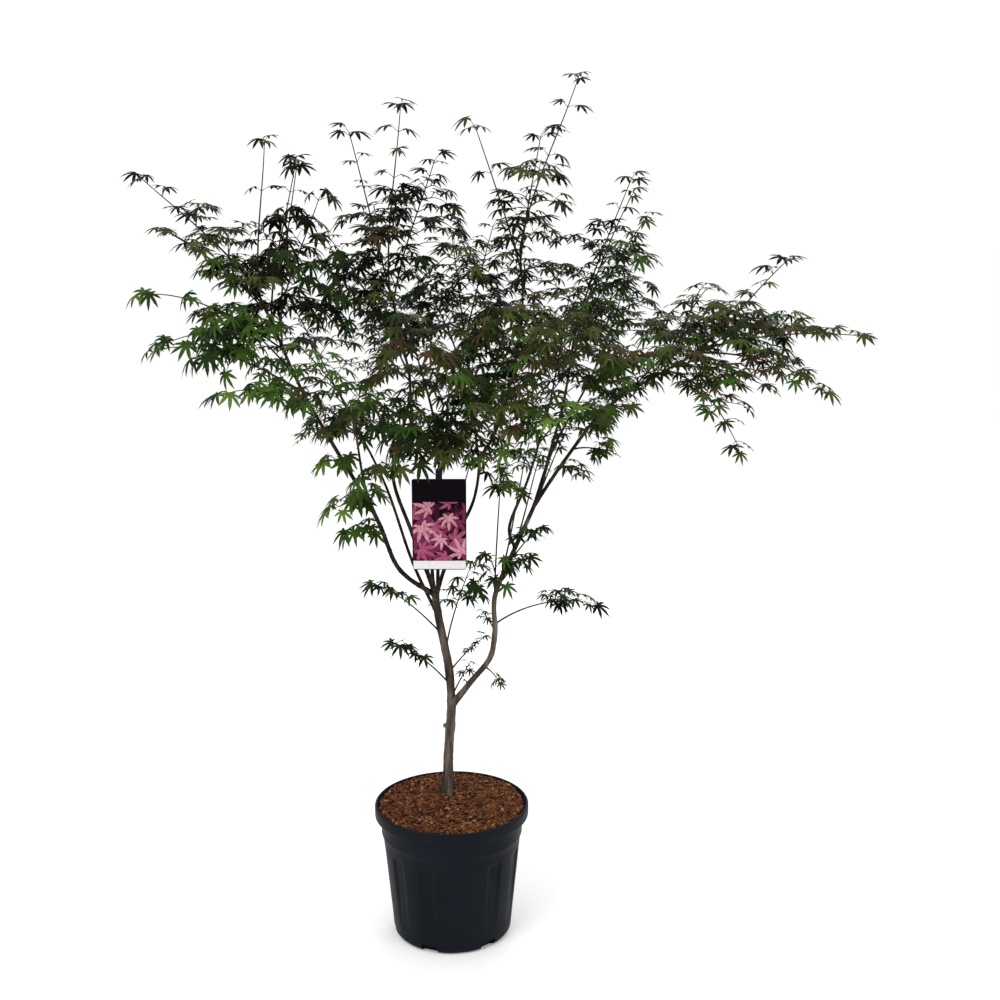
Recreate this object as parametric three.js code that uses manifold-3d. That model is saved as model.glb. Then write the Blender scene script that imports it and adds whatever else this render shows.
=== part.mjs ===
// Potted Japanese maple: a nursery pot of bark mulch, a slim trunk that forks low, its boughs,
// and masses of palmate leaves on opposite twigs, with a hanging plant label.
// Millimetres, +Z up. The origin is under the middle of the pot, on the ground it stands on.
import * as THREE from 'three';
import { mergeVertices } from 'three/addons/utils/BufferGeometryUtils.js';
import Module from 'manifold-3d';

const wasm = await Module();
wasm.setup();

// ---------------------------------------------------------------- driving dimensions

const GAP = 0.3; // running gap between neighbouring solids
const SLIVER = 0.1; // joined solids lose slivers up to this size
const THINNEST = 0.006; // a joined mass of foliage has no face lower than this

// Pot: a moulded nursery container of about 15 litres, with flutes and drain notches.
const POT = {
  height: 265,
  rimRadius: 150,
  rimHeight: 24,
  collarRadius: 138.5,
  shoulderHeight: 196,
  shoulderRadius: 134,
  footRadius: 116,
  footRounding: 12,
  rimWidth: 5,
  wall: 6.5,
  floor: 17,
  segments: 36,
  fluteDepth: 3,
};
const NOTCH = { count: 6, firstAngle: -111, width: 33, height: 16, depth: 14 };

// Mulch: a low dome that nearly fills the pot and carries the foot of the trunk.
const MULCH = { edgeHeight: 260, topHeight: 270, flatRadius: 56, rings: 2, segments: 18 };

// Limbs: each runs from a fraction of its parent through hand-set points, and tapers.
// radii are pairs of fraction along the limb and radius there.
const LIMBS = [
  {
    name: 'trunk', sides: 9, steps: 3,
    via: [[-11, 33, 260], [-9, 31, 292], [-5, 25, 380], [0, 22, 457], [-5, 17, 537], [-20, 12, 622],
      [-30, 8, 688]],
    radii: [[0, 17], [0.05, 12], [0.11, 10.3], [0.3, 9.4], [0.46, 9.2], [0.51, 8.4], [0.85, 7.8], [1, 6.4]],
  },
  {
    name: 'limb_right', on: 'trunk', at: 0.452, sides: 8, steps: 2,
    via: [[40, -5, 515], [75, -18, 565], [85, -24, 620], [85, -28, 690], [115, -25, 765], [165, -10, 875]],
    radii: [[0, 6.4], [0.2, 5.4], [0.6, 4.5], [1, 3.8]],
  },
  {
    name: 'bough_left', on: 'trunk', at: 0.985, sides: 7, steps: 2,
    via: [[-95, -15, 740], [-135, -35, 845], [-210, -50, 985], [-265, -55, 1090], [-315, -50, 1210],
      [-340, -45, 1265]],
    radii: [[0, 4.4], [0.4, 3.7], [1, 2.2]],
  },
  {
    name: 'bough_centre_left', on: 'trunk', at: 1, sides: 6, steps: 2,
    via: [[-45, 12, 730], [-75, 30, 805], [-105, 45, 885], [-105, 55, 935], [-75, 70, 1060],
      [-90, 70, 1160], [-110, 60, 1255]],
    radii: [[0, 4.2], [0.4, 3.2], [1, 1.9]],
  },
  {
    name: 'bough_centre_right', on: 'trunk', at: 0.97, sides: 6, steps: 2,
    via: [[-12, 6, 730], [20, 10, 810], [45, 18, 865], [55, 25, 925], [50, 32, 975], [40, 45, 1070]],
    radii: [[0, 4], [0.4, 3.1], [1, 1.9]],
  },
  {
    name: 'bough_front', on: 'trunk', at: 0.95, sides: 6, steps: 2,
    via: [[-32, -30, 745], [-25, -65, 865], [-15, -84, 940], [-20, -160, 1045], [-30, -230, 1115]],
    radii: [[0, 3.6], [0.4, 2.8], [1, 1.8]],
  },
  {
    name: 'bough_centre_back', on: 'trunk', at: 0.92, sides: 6, steps: 2,
    via: [[-24, 50, 750], [-20, 120, 900], [5, 180, 1030], [30, 230, 1165]],
    radii: [[0, 3.6], [0.4, 2.9], [1, 1.8]],
  },
  {
    name: 'bough_back_left', on: 'trunk', at: 0.88, sides: 6, steps: 2,
    via: [[-75, 60, 735], [-135, 150, 875], [-230, 260, 1030]],
    radii: [[0, 3.3], [1, 1.8]],
  },
  {
    name: 'bough_front_left', on: 'bough_left', at: 0.27, sides: 6, steps: 2,
    via: [[-145, -130, 925], [-150, -230, 1055]],
    radii: [[0, 2.9], [1, 1.7]],
  },
  {
    name: 'bough_centre_high', on: 'bough_centre_right', at: 0.68, sides: 6, steps: 2,
    via: [[90, 10, 1005], [120, -10, 1115], [135, -20, 1225], [130, -25, 1330]],
    radii: [[0, 2.8], [1, 1.7]],
  },
  {
    name: 'bough_right_front', on: 'limb_right', at: 0.78, sides: 6, steps: 2,
    via: [[112, -66, 835], [145, -120, 935], [175, -190, 1060]],
    radii: [[0, 3], [1, 1.7]],
  },
  {
    name: 'bough_right_mid', on: 'limb_right', at: 1, sides: 6, steps: 2,
    via: [[185, 15, 945], [215, 55, 1050], [235, 85, 1175]],
    radii: [[0, 3.5], [1, 1.8]],
  },
  {
    name: 'bough_right_back', on: 'limb_right', at: 0.95, sides: 6, steps: 2,
    via: [[195, 75, 950], [260, 160, 1055], [290, 215, 1105]],
    radii: [[0, 2.8], [1, 1.7]],
  },
  {
    name: 'bough_right_long', on: 'limb_right', at: 0.975, sides: 6, steps: 2,
    via: [[215, -40, 955], [275, -60, 1040], [340, -65, 1090], [460, -45, 1155]],
    radii: [[0, 3.5], [0.5, 2.9], [1, 2]],
  },
];

// Masses of foliage: each grows from a fraction of a limb and reaches to a point.
// bow lifts the middle of its stem, as a share of the stem's length.
const MASSES = [
  { name: 'leaves_left_tip', on: 'bough_left', at: 1, reach: [-565, -20, 1455], bow: 0.02 },
  { name: 'leaves_left_shoot', on: 'bough_left', at: 0.97, reach: [-305, -90, 1518], bow: 0 },
  { name: 'leaves_left_upright', on: 'bough_left', at: 0.9, reach: [-265, 30, 1488], bow: 0 },
  { name: 'leaves_left_upper', on: 'bough_left', at: 0.93, reach: [-500, -150, 1368], bow: 0.1 },
  { name: 'leaves_left_middle', on: 'bough_left', at: 0.82, reach: [-535, -160, 1262], bow: 0.14 },
  { name: 'leaves_left_lower', on: 'bough_left', at: 0.7, reach: [-545, -70, 1160], bow: 0.16 },
  { name: 'leaves_left_back', on: 'bough_left', at: 0.75, reach: [-480, 170, 1215], bow: 0.1 },
  { name: 'leaves_left_hanging', on: 'bough_left', at: 0.62, reach: [-400, -200, 1095], bow: 0.18 },
  { name: 'leaves_left_foot', on: 'bough_left', at: 0.35, reach: [-222, -110, 875], bow: 0.12 },
  { name: 'leaves_mid_left_tip', on: 'bough_centre_left', at: 1, reach: [-80, 40, 1588], bow: 0 },
  { name: 'leaves_mid_left_arch', on: 'bough_centre_left', at: 0.93, reach: [-180, -20, 1538], bow: 0.02 },
  { name: 'leaves_mid_left_right', on: 'bough_centre_left', at: 0.95, reach: [-15, 120, 1492], bow: 0.02 },
  { name: 'leaves_mid_left_side', on: 'bough_centre_left', at: 0.72, reach: [-250, 160, 1350], bow: 0.08 },
  { name: 'leaves_mid_left_front', on: 'bough_centre_left', at: 0.58, reach: [-215, -150, 1020], bow: 0.12 },
  { name: 'leaves_high_top', on: 'bough_centre_high', at: 1, reach: [243, -40, 1626], bow: 0 },
  { name: 'leaves_high_middle', on: 'bough_centre_high', at: 0.95, reach: [175, 60, 1535], bow: 0.02 },
  { name: 'leaves_high_left', on: 'bough_centre_high', at: 0.9, reach: [40, -90, 1542], bow: 0.02 },
  { name: 'leaves_high_front', on: 'bough_centre_high', at: 0.66, reach: [85, -225, 1225], bow: 0.08 },
  { name: 'leaves_centre_right_up', on: 'bough_centre_right', at: 1, reach: [5, -50, 1365], bow: 0 },
  { name: 'leaves_back_tip', on: 'bough_centre_back', at: 1, reach: [90, 360, 1370], bow: 0.04 },
  { name: 'leaves_back_left', on: 'bough_centre_back', at: 0.86, reach: [-90, 385, 1270], bow: 0.08 },
  { name: 'leaves_front_tip', on: 'bough_front', at: 1, reach: [-60, -400, 1240], bow: 0.06 },
  { name: 'leaves_front_low', on: 'bough_front', at: 0.78, reach: [74, -325, 1008], bow: 0.08 },
  { name: 'leaves_front_left_tip', on: 'bough_front_left', at: 1, reach: [-225, -400, 1190], bow: 0.08 },
  { name: 'leaves_back_left_tip', on: 'bough_back_left', at: 1, reach: [-385, 395, 1255], bow: 0.06 },
  { name: 'leaves_back_left_low', on: 'bough_back_left', at: 0.72, reach: [-300, 400, 985], bow: 0.14 },
  { name: 'leaves_right_mid_top', on: 'bough_right_mid', at: 1, reach: [352, 110, 1458], bow: 0.02 },
  { name: 'leaves_right_mid_side', on: 'bough_right_mid', at: 0.88, reach: [375, 20, 1385], bow: 0.06 },
  { name: 'leaves_right_back_tip', on: 'bough_right_back', at: 1, reach: [385, 370, 1300], bow: 0.06 },
  { name: 'leaves_right_front_up', on: 'bough_right_front', at: 1, reach: [210, -350, 1275], bow: 0.04 },
  { name: 'leaves_right_front_low', on: 'bough_right_front', at: 0.8, reach: [250, -375, 1095], bow: 0.14 },
  { name: 'leaves_wing_tip', on: 'bough_right_long', at: 1, reach: [778, -20, 1178], bow: 0.06 },
  { name: 'leaves_wing_up', on: 'bough_right_long', at: 0.94, reach: [642, 20, 1312], bow: 0.02 },
  { name: 'leaves_wing_low', on: 'bough_right_long', at: 0.97, reach: [690, -130, 1097], bow: 0.12 },
  { name: 'leaves_wing_hanging', on: 'bough_right_long', at: 0.82, reach: [528, -190, 1003], bow: 0.2 },
  { name: 'leaves_wing_front', on: 'bough_right_long', at: 0.6, reach: [405, -270, 1180], bow: 0.1 },
  { name: 'leaves_wing_back', on: 'bough_right_long', at: 0.9, reach: [640, 240, 1175], bow: 0.1 },
  { name: 'leaves_wing_upper_left', on: 'bough_right_long', at: 0.72, reach: [505, 140, 1255], bow: 0.08 },
  { name: 'leaves_low_right', on: 'limb_right', at: 0.45, reach: [292, -60, 688], bow: 0.14 },
  { name: 'leaves_limb_side', on: 'limb_right', at: 0.72, reach: [185, -105, 832], bow: 0.1 },
  { name: 'leaves_low_left', on: 'trunk', at: 0.8, reach: [-160, -70, 722], bow: 0.1 },
  { name: 'leaves_low_middle', on: 'trunk', at: 0.72, reach: [50, -85, 762], bow: 0.06 },
  { name: 'leaves_lower_left', on: 'trunk', at: 0.56, reach: [-125, -50, 600], bow: 0.1 },
];

// Stem of a mass: how it leaves its limb, and how far its last leaves reach past its end.
const STEM = {
  steps: 3,
  sideAlong: 0.55,
  firstControl: 0.33,
  secondControl: 0.67,
  levelOverhang: 0.9,
  uprightOverhang: 0.15,
  mostOverhang: 0.6,
};

// Shoots: how the twigs of a mass branch.
const SHOOT = {
  nodePitch: 58,
  fewestNodes: 2,
  mostNodes: 4,
  firstNode: 0.3,
  lastNode: 0.97,
  tipNode: 0.99,
  twigNodes: 0.5,
  twigShare: 0.5,
  twigShortest: 45,
  rootRadius: 2.3,
  twigRadius: 1.8,
  tipRadius: 1.6,
  spread: 0.95,
  twigLean: 0.9,
  leafLean: 0.5,
  endLean: 0.35,
  tipLean: 3,
  phase: 0.8,
  turnStep: 0.55,
  pairStep: 4,
  mostLeaves: 7,
  sides: 3,
  seeds: 20,
  firstSeed: 1300,
  tries: 9,
  quarterTurn: Math.PI / 2,
};

// Leaf: five pointed lobes round the end of a stalk. Angles are degrees from the leaf's tip.
const LEAF = {
  length: 84,
  stalk: 30,
  thickness: 2.2,
  dome: 2.5,
  lobes: [[0, 1], [46, 0.86], [96, 0.6]],
  clefts: [[22, 0.4], [69, 0.36]],
  tipDroop: 0.16,
  cleftDroop: 0.02,
  neck: 1.3,
  stalkEnd: 0.55,
  sink: 0.2,
  sizes: [1, 0.85, 0.7],
  sizeSpread: 0.1,
  steepest: 0.9,
  leastHeading: 0.2,
  midway: 0.55,
  follow: 0.6,
  hang: [0.15, 0.4],
  roll: 0.45,
};

// Clearances that a leaf or twig keeps.
const CLEAR = { space: 2.5, limb: 2, tag: 4, root: 9, leaf: 6, twig: 4, sample: 14 };

// Label: a card with a neck and a collar round the front bough.
const TAG = {
  at: 0.56, // fraction of the front bough
  view: 260, // depth in front of the card that stays clear of leaves
  width: 98,
  height: 168,
  thick: 1.2,
  drop: 12,
  strapWidth: 12,
  strapHeight: 24,
  neckWidth: 6,
  neckHeight: 4.5,
  collarHeight: 9,
  collarWall: 1.6,
  collarPlay: 0.6,
  collarSides: 10,
  setOff: 8,
};

// Pruned stub on the trunk.
const STUB = { at: 0.34, length: 15, radius: 4.2, sides: 8, aim: [-1, -0.2, 0.7] };

// Colours, with roughness.
const LOOKS = {
  pot: [0x1b1e24, 0.45],
  mulch: [0x6b3d27, 0.95],
  bark: [0x6a5a4c, 0.85],
  youngBark: [0x463830, 0.7],
  card: [0x7a3550, 0.35],
  leaves: [[0x2f4a22, 0.6], [0x3f5a2a, 0.6], [0x4a4a2c, 0.6], [0x5a4030, 0.6]],
};

// ---------------------------------------------------------------- small tools

const UP = new THREE.Vector3(0, 0, 1);
const vec = (p) => new THREE.Vector3(...p);
const radians = THREE.MathUtils.degToRad;

// Seeded generator of numbers from 0 to 1.
function seeded(seed) {
  let state = seed >>> 0;
  return () => {
    state = (state + 0x6d2b79f5) >>> 0;
    let t = state;
    t = Math.imul(t ^ (t >>> 15), t | 1);
    t ^= t + Math.imul(t ^ (t >>> 7), t | 61);
    return ((t ^ (t >>> 14)) >>> 0) / 4294967296;
  };
}

function table(pairs, x) {
  for (let i = 1; i < pairs.length; i += 1) {
    const [x0, y0] = pairs[i - 1];
    const [x1, y1] = pairs[i];
    if (x <= x1) return y0 + ((y1 - y0) * Math.max(0, x - x0)) / (x1 - x0);
  }
  return pairs[pairs.length - 1][1];
}

function mesh(name, geometry, [color, roughness]) {
  const material = new THREE.MeshStandardMaterial({ color, roughness, metalness: 0 });
  const result = new THREE.Mesh(geometry, material);
  result.name = name;
  return result;
}

// ---------------------------------------------------------------- solids

function indexed(points, triangles) {
  const geometry = new THREE.BufferGeometry();
  const numbers = points.flatMap((p) => [p.x, p.y, p.z]);
  geometry.setAttribute('position', new THREE.Float32BufferAttribute(numbers, 3));
  geometry.setIndex(triangles.flat());
  return geometry;
}

function toSolid(geometry) {
  const bare = geometry.clone();
  bare.deleteAttribute('normal');
  bare.deleteAttribute('uv');
  const merged = mergeVertices(bare, 1e-4);
  return new wasm.Manifold(new wasm.Mesh({
    numProp: 3,
    vertProperties: new Float32Array(merged.attributes.position.array),
    triVerts: new Uint32Array(merged.index.array),
  }));
}

function toGeometry(solid) {
  const { vertProperties, triVerts } = solid.getMesh();
  const geometry = new THREE.BufferGeometry();
  geometry.setAttribute('position', new THREE.BufferAttribute(vertProperties, 3));
  geometry.setIndex(new THREE.BufferAttribute(triVerts, 1));
  return geometry;
}

// The main body of a joined solid, without loose scraps or slivers.
function mainBody(solid) {
  const pieces = solid.asOriginal().simplify(SLIVER).decompose();
  return pieces.reduce((best, piece) => (piece.volume() > best.volume() ? piece : best));
}

// Closed skin over a row of rings with equal counts. Its flat ends are fans from a corner.
function loft(rings) {
  const n = rings[0].length;
  const last = (rings.length - 1) * n;
  const triangles = [];
  for (let i = 0; i < n; i += 1) {
    const j = (i + 1) % n;
    for (let a = 0; a < last; a += n) {
      triangles.push([a + i, a + j, a + n + j], [a + i, a + n + j, a + n + i]);
    }
  }
  for (let i = 1; i < n - 1; i += 1) {
    triangles.push([0, i + 1, i], [last, last + i, last + i + 1]);
  }
  return indexed(rings.flat(), triangles);
}

// A tube along a row of points, with a radius at each.
function tube(points, radii, sides) {
  const tangents = points.map((p, i) => {
    const before = points[Math.max(i - 1, 0)];
    const after = points[Math.min(i + 1, points.length - 1)];
    return after.clone().sub(before).normalize();
  });
  let normal = new THREE.Vector3(1, 0, 0);
  if (Math.abs(tangents[0].x) > 0.9) normal = new THREE.Vector3(0, 1, 0);
  const rings = points.map((point, i) => {
    const along = tangents[i];
    normal = normal.clone().addScaledVector(along, -normal.dot(along)).normalize();
    const other = along.clone().cross(normal);
    return Array.from({ length: sides }, (_, k) => {
      const angle = (2 * Math.PI * k) / sides;
      return point.clone()
        .addScaledVector(normal, radii[i] * Math.cos(angle))
        .addScaledVector(other, radii[i] * Math.sin(angle));
    });
  });
  return loft(rings);
}

// ---------------------------------------------------------------- paths

// A path is a row of points with the distance along it at each.
function makePath(points) {
  const distances = [0];
  for (let i = 1; i < points.length; i += 1) {
    distances.push(distances[i - 1] + points[i].distanceTo(points[i - 1]));
  }
  return { points, distances, length: distances[distances.length - 1] };
}

function pathPoint(path, fraction) {
  const target = fraction * path.length;
  let i = 1;
  while (i < path.points.length - 1 && path.distances[i] < target) i += 1;
  const span = path.distances[i] - path.distances[i - 1];
  return path.points[i - 1].clone().lerp(path.points[i], (target - path.distances[i - 1]) / span);
}

function pathTangent(path, fraction) {
  const step = 0.01;
  const ahead = pathPoint(path, Math.min(fraction + step, 1));
  return ahead.sub(pathPoint(path, Math.max(fraction - step, 0))).normalize();
}

function segmentDistance(p, a, b) {
  const ab = b.clone().sub(a);
  const t = THREE.MathUtils.clamp(p.clone().sub(a).dot(ab) / ab.lengthSq(), 0, 1);
  return p.distanceTo(a.clone().addScaledVector(ab, t));
}

// ---------------------------------------------------------------- pot and mulch

// Height and radius of the pot's inner wall, from the floor to the rim.
const lipHeight = POT.height - POT.rimHeight;
const innerWall = [
  [POT.floor, POT.footRadius - POT.wall],
  [POT.shoulderHeight, POT.shoulderRadius - POT.wall],
  [lipHeight, POT.collarRadius - POT.wall / 2],
  [POT.height, POT.rimRadius - POT.rimWidth],
];

function potRing(radius, height, fluteDepth = 0) {
  return Array.from({ length: POT.segments }, (_, i) => {
    const angle = (2 * Math.PI * i) / POT.segments;
    const r = radius - (i % 3 === 1 ? fluteDepth : 0);
    return new THREE.Vector3(r * Math.cos(angle), r * Math.sin(angle), height);
  });
}

function buildPot() {
  const { height, rimRadius, collarRadius, shoulderHeight, shoulderRadius } = POT;
  const { footRadius, footRounding, fluteDepth } = POT;
  const outside = [
    potRing(footRadius - 7, 0),
    potRing(footRadius - 1.5, footRounding * 0.45),
    potRing(footRadius, footRounding),
    potRing(footRadius + 1, footRounding + 10, fluteDepth),
    potRing(shoulderRadius - 1, shoulderHeight - 10, fluteDepth),
    potRing(shoulderRadius, shoulderHeight),
    potRing(collarRadius - 1, shoulderHeight + 12),
    potRing(collarRadius, lipHeight),
    potRing(rimRadius, lipHeight + 2),
    potRing(rimRadius, height - 4),
    potRing(rimRadius - 2, height),
  ];
  const inside = [...innerWall].reverse().map(([z, r]) => potRing(r, z));
  const whole = toSolid(loft([...outside, ...inside]));
  const cutters = Array.from({ length: NOTCH.count }, (_, i) => {
    const reach = 2 * NOTCH.depth;
    const cutter = new THREE.BoxGeometry(reach, NOTCH.width, 2 * NOTCH.height);
    cutter.translate(footRadius - NOTCH.depth + reach / 2, 0, 0);
    cutter.rotateZ(radians(NOTCH.firstAngle + (360 / NOTCH.count) * i));
    return toSolid(cutter);
  });
  return mesh('pot', toGeometry(whole.subtract(wasm.Manifold.union(cutters))), LOOKS.pot);
}

function buildMulch() {
  const { edgeHeight, topHeight, flatRadius, rings, segments } = MULCH;
  // The wall's flats lie inside its corner radius, so the mulch is drawn in by that much as well.
  const inset = (radius) => radius * Math.cos(Math.PI / POT.segments) - GAP;
  const profile = [new THREE.Vector2(0, POT.floor + GAP)];
  for (const height of [POT.floor + GAP, POT.shoulderHeight, lipHeight]) {
    profile.push(new THREE.Vector2(inset(table(innerWall, height)), height));
  }
  const edge = inset(table(innerWall, edgeHeight));
  for (let i = 0; i <= rings; i += 1) {
    const share = i / rings;
    const radius = edge + (flatRadius - edge) * share;
    const rise = Math.sin((share * Math.PI) / 2);
    profile.push(new THREE.Vector2(radius, edgeHeight + (topHeight - GAP - edgeHeight) * rise));
  }
  profile.push(new THREE.Vector2(0, topHeight - GAP));
  const geometry = new THREE.LatheGeometry(profile, segments);
  geometry.rotateX(Math.PI / 2);
  return mesh('mulch', toGeometry(toSolid(geometry)), LOOKS.mulch);
}

// ---------------------------------------------------------------- limbs

const limbs = new Map();

function growLimb(limb) {
  const via = limb.via.map(vec);
  if (limb.on) {
    const parent = limbs.get(limb.on);
    const start = pathPoint(parent.path, limb.at);
    if (limb.at === 1) start.addScaledVector(pathTangent(parent.path, 1), GAP);
    via.unshift(start);
  }
  const curve = new THREE.CatmullRomCurve3(via, false, 'catmullrom', 0.5);
  const path = makePath(curve.getPoints((via.length - 1) * limb.steps));
  const radii = path.distances.map((d) => table(limb.radii, d / path.length));
  return { ...limb, path, radii };
}

function limbSolid(limb, extra = 0) {
  return toSolid(tube(limb.path.points, limb.radii.map((r) => r + extra), limb.sides));
}

// Each limb is cut clear of the hulls of those before it, which are larger by the gap.
function buildLimbs() {
  for (const entry of LIMBS) {
    const limb = growLimb(entry);
    let solid = limbSolid(limb);
    limb.hull = limbSolid(limb, GAP);
    if (limb.name === 'trunk') {
      solid = solid.add(stubSolid(limb)).subtract(belowGround());
      limb.hull = limb.hull.add(stubSolid(limb, GAP));
    }
    for (const earlier of limbs.values()) solid = solid.subtract(earlier.hull);
    limb.solid = mainBody(solid);
    limbs.set(limb.name, limb);
  }
}

// The block that cuts the trunk off flat at the top of the mulch.
function belowGround() {
  const side = 2 * MULCH.flatRadius;
  const block = new THREE.BoxGeometry(side, side, side);
  block.translate(0, 0, MULCH.topHeight - side / 2);
  return toSolid(block);
}

function stubSolid(trunk, extra = 0) {
  const root = pathPoint(trunk.path, STUB.at);
  const aim = vec(STUB.aim).normalize();
  const points = [root, root.clone().addScaledVector(aim, STUB.length + extra)];
  const radii = [STUB.radius + 1 + extra, STUB.radius + extra];
  return toSolid(tube(points, radii, STUB.sides));
}

// ---------------------------------------------------------------- label

function buildTag() {
  const bough = limbs.get('bough_front');
  const centre = pathPoint(bough.path, TAG.at);
  const along = pathTangent(bough.path, TAG.at);
  const inner = table(LIMBS.find(({ name }) => name === 'bough_front').radii, TAG.at) + TAG.collarPlay;
  const outer = inner + TAG.collarWall;
  const half = TAG.collarHeight / 2;
  const section = [[inner, -half], [outer, -half], [outer, half], [inner, half], [inner, -half]];
  const profile = section.map(([r, h]) => new THREE.Vector2(r, h));
  const collar = new THREE.LatheGeometry(profile, TAG.collarSides);
  collar.applyQuaternion(new THREE.Quaternion().setFromUnitVectors(new THREE.Vector3(0, 1, 0), along));
  collar.translate(centre.x, centre.y, centre.z);
  const face = centre.y - outer - TAG.setOff;
  const top = centre.z - TAG.drop;
  const neckDepth = centre.y - inner - face;
  const neck = new THREE.BoxGeometry(TAG.neckWidth, neckDepth, TAG.neckHeight);
  neck.translate(centre.x, face + neckDepth / 2, centre.z);
  const strap = new THREE.BoxGeometry(TAG.strapWidth, TAG.thick, TAG.strapHeight);
  strap.translate(centre.x, face, top + TAG.strapHeight / 4);
  const card = new THREE.BoxGeometry(TAG.width, TAG.thick, TAG.height);
  card.translate(centre.x, face, top - TAG.height / 2);
  const solid = wasm.Manifold.union([collar, neck, strap, card].map(toSolid)).subtract(bough.hull);
  return { mesh: mesh('label', toGeometry(solid), LOOKS.card), centre, face, top };
}

// ---------------------------------------------------------------- leaves

// Corners of a leaf in its own frame: +Y to its tip, +Z up from its blade.
function leafRim(length) {
  const corner = ([degrees, share], side, droop) => {
    const angle = radians(degrees) * side;
    const reach = length * share;
    return new THREE.Vector3(reach * Math.sin(angle), reach * Math.cos(angle), -droop * reach);
  };
  const half = (side) => [
    corner(LEAF.clefts[0], side, LEAF.cleftDroop),
    corner(LEAF.lobes[1], side, LEAF.tipDroop),
    corner(LEAF.clefts[1], side, LEAF.cleftDroop),
    corner(LEAF.lobes[2], side, LEAF.tipDroop),
    new THREE.Vector3(LEAF.neck * side, -LEAF.neck * 2, 0),
  ];
  return [...half(1).reverse(), corner(LEAF.lobes[0], 1, LEAF.tipDroop), ...half(-1)];
}

// Turns a point of a leaf's own frame into one of the plant's.
const onLeaf = ({ centre, frame }) => (p) => centre.clone()
  .addScaledVector(frame.x, p.x)
  .addScaledVector(frame.y, p.y)
  .addScaledVector(frame.z, p.z);

// A leaf is {base, centre, frame, length}: its stalk's root, its blade's heart and its axes.
function leafGeometry(leaf) {
  const { base, centre, frame, length } = leaf;
  const place = onLeaf(leaf);
  const rim = leafRim(length).map(place);
  const crown = place(new THREE.Vector3(0, 0, LEAF.dome + LEAF.thickness));
  const under = place(new THREE.Vector3(0, 0, LEAF.dome));
  // The stalk ends in a small triangle inside its twig.
  const inward = base.clone().sub(centre).normalize();
  const end = base.clone().addScaledVector(inward, LEAF.sink);
  const side = frame.x.clone().multiplyScalar(LEAF.stalkEnd * Math.cos(Math.PI / 6));
  const low = end.clone().addScaledVector(frame.z, -LEAF.stalkEnd * Math.sin(Math.PI / 6));
  const right = low.clone().add(side);
  const left = low.clone().sub(side);
  const ridge = end.clone().addScaledVector(frame.z, LEAF.stalkEnd);
  const n = rim.length;
  const points = [...rim, crown, under, right, left, ridge];
  const [CROWN, UNDER, RIGHT, LEFT, RIDGE] = [n, n + 1, n + 2, n + 3, n + 4];
  const triangles = [];
  for (let i = 0; i < n - 1; i += 1) {
    triangles.push([CROWN, i, i + 1], [UNDER, i + 1, i]);
  }
  triangles.push([CROWN, n - 1, RIDGE], [n - 1, LEFT, RIDGE], [CROWN, RIDGE, 0], [0, RIDGE, RIGHT]);
  triangles.push([LEFT, RIGHT, RIDGE], [UNDER, LEFT, n - 1], [UNDER, RIGHT, LEFT], [UNDER, 0, RIGHT]);
  return indexed(points, triangles);
}

// ---------------------------------------------------------------- masses

const masses = MASSES.map((entry, index) => ({ ...entry, index }));

// The stem of a mass leaves its limb along the limb's own line and rises over its bow.
function stemPath(mass) {
  const limb = limbs.get(mass.on);
  const start = pathPoint(limb.path, mass.at);
  const along = pathTangent(limb.path, mass.at);
  if (mass.at === 1) start.addScaledVector(along, GAP);
  const reach = vec(mass.reach);
  const aim = reach.clone().sub(start);
  const distance = aim.length();
  aim.normalize();
  // The last leaves lie nearly level, so they carry the mass further out than up.
  const overhang = Math.min(LEAF.length + LEAF.stalk, STEM.mostOverhang * distance);
  const back = aim.clone().multiply(vec([STEM.levelOverhang, STEM.levelOverhang, STEM.uprightOverhang]));
  const end = reach.clone().addScaledVector(back, -overhang);
  const span = end.distanceTo(start);
  const leave = along.clone().multiplyScalar(mass.at === 1 ? 1 : STEM.sideAlong).add(aim).normalize();
  const first = start.clone().addScaledVector(leave, span * STEM.firstControl);
  const second = start.clone().lerp(end, STEM.secondControl).addScaledVector(UP, mass.bow * span);
  return makePath(new THREE.CubicBezierCurve3(start, first, second, end).getPoints(STEM.steps));
}

// True where a point lies in the mass's own space: nearer its stem than any other mass's stem,
// and clear of the limbs and the label.
function isFree(point, mass, label) {
  const toStem = (path) => {
    let best = Infinity;
    for (let i = 1; i < path.points.length; i += 1) {
      best = Math.min(best, segmentDistance(point, path.points[i - 1], path.points[i]));
    }
    return best;
  };
  const own = toStem(mass.stem);
  for (const other of masses) {
    if (other !== mass && toStem(other.stem) < own + CLEAR.space) return false;
  }
  for (const limb of limbs.values()) {
    const { points } = limb.path;
    for (let i = 1; i < points.length; i += 1) {
      const distance = segmentDistance(point, points[i - 1], points[i]);
      if (distance < Math.max(limb.radii[i - 1], limb.radii[i]) + CLEAR.limb) return false;
    }
  }
  const beside = Math.abs(point.x - label.centre.x) < TAG.width / 2 + CLEAR.tag;
  const level = point.z < label.top + CLEAR.tag && point.z > label.top - TAG.height - CLEAR.tag;
  const before = point.y < label.face + CLEAR.tag * 2 && point.y > label.face - TAG.view;
  return !(beside && level && before);
}

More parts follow.
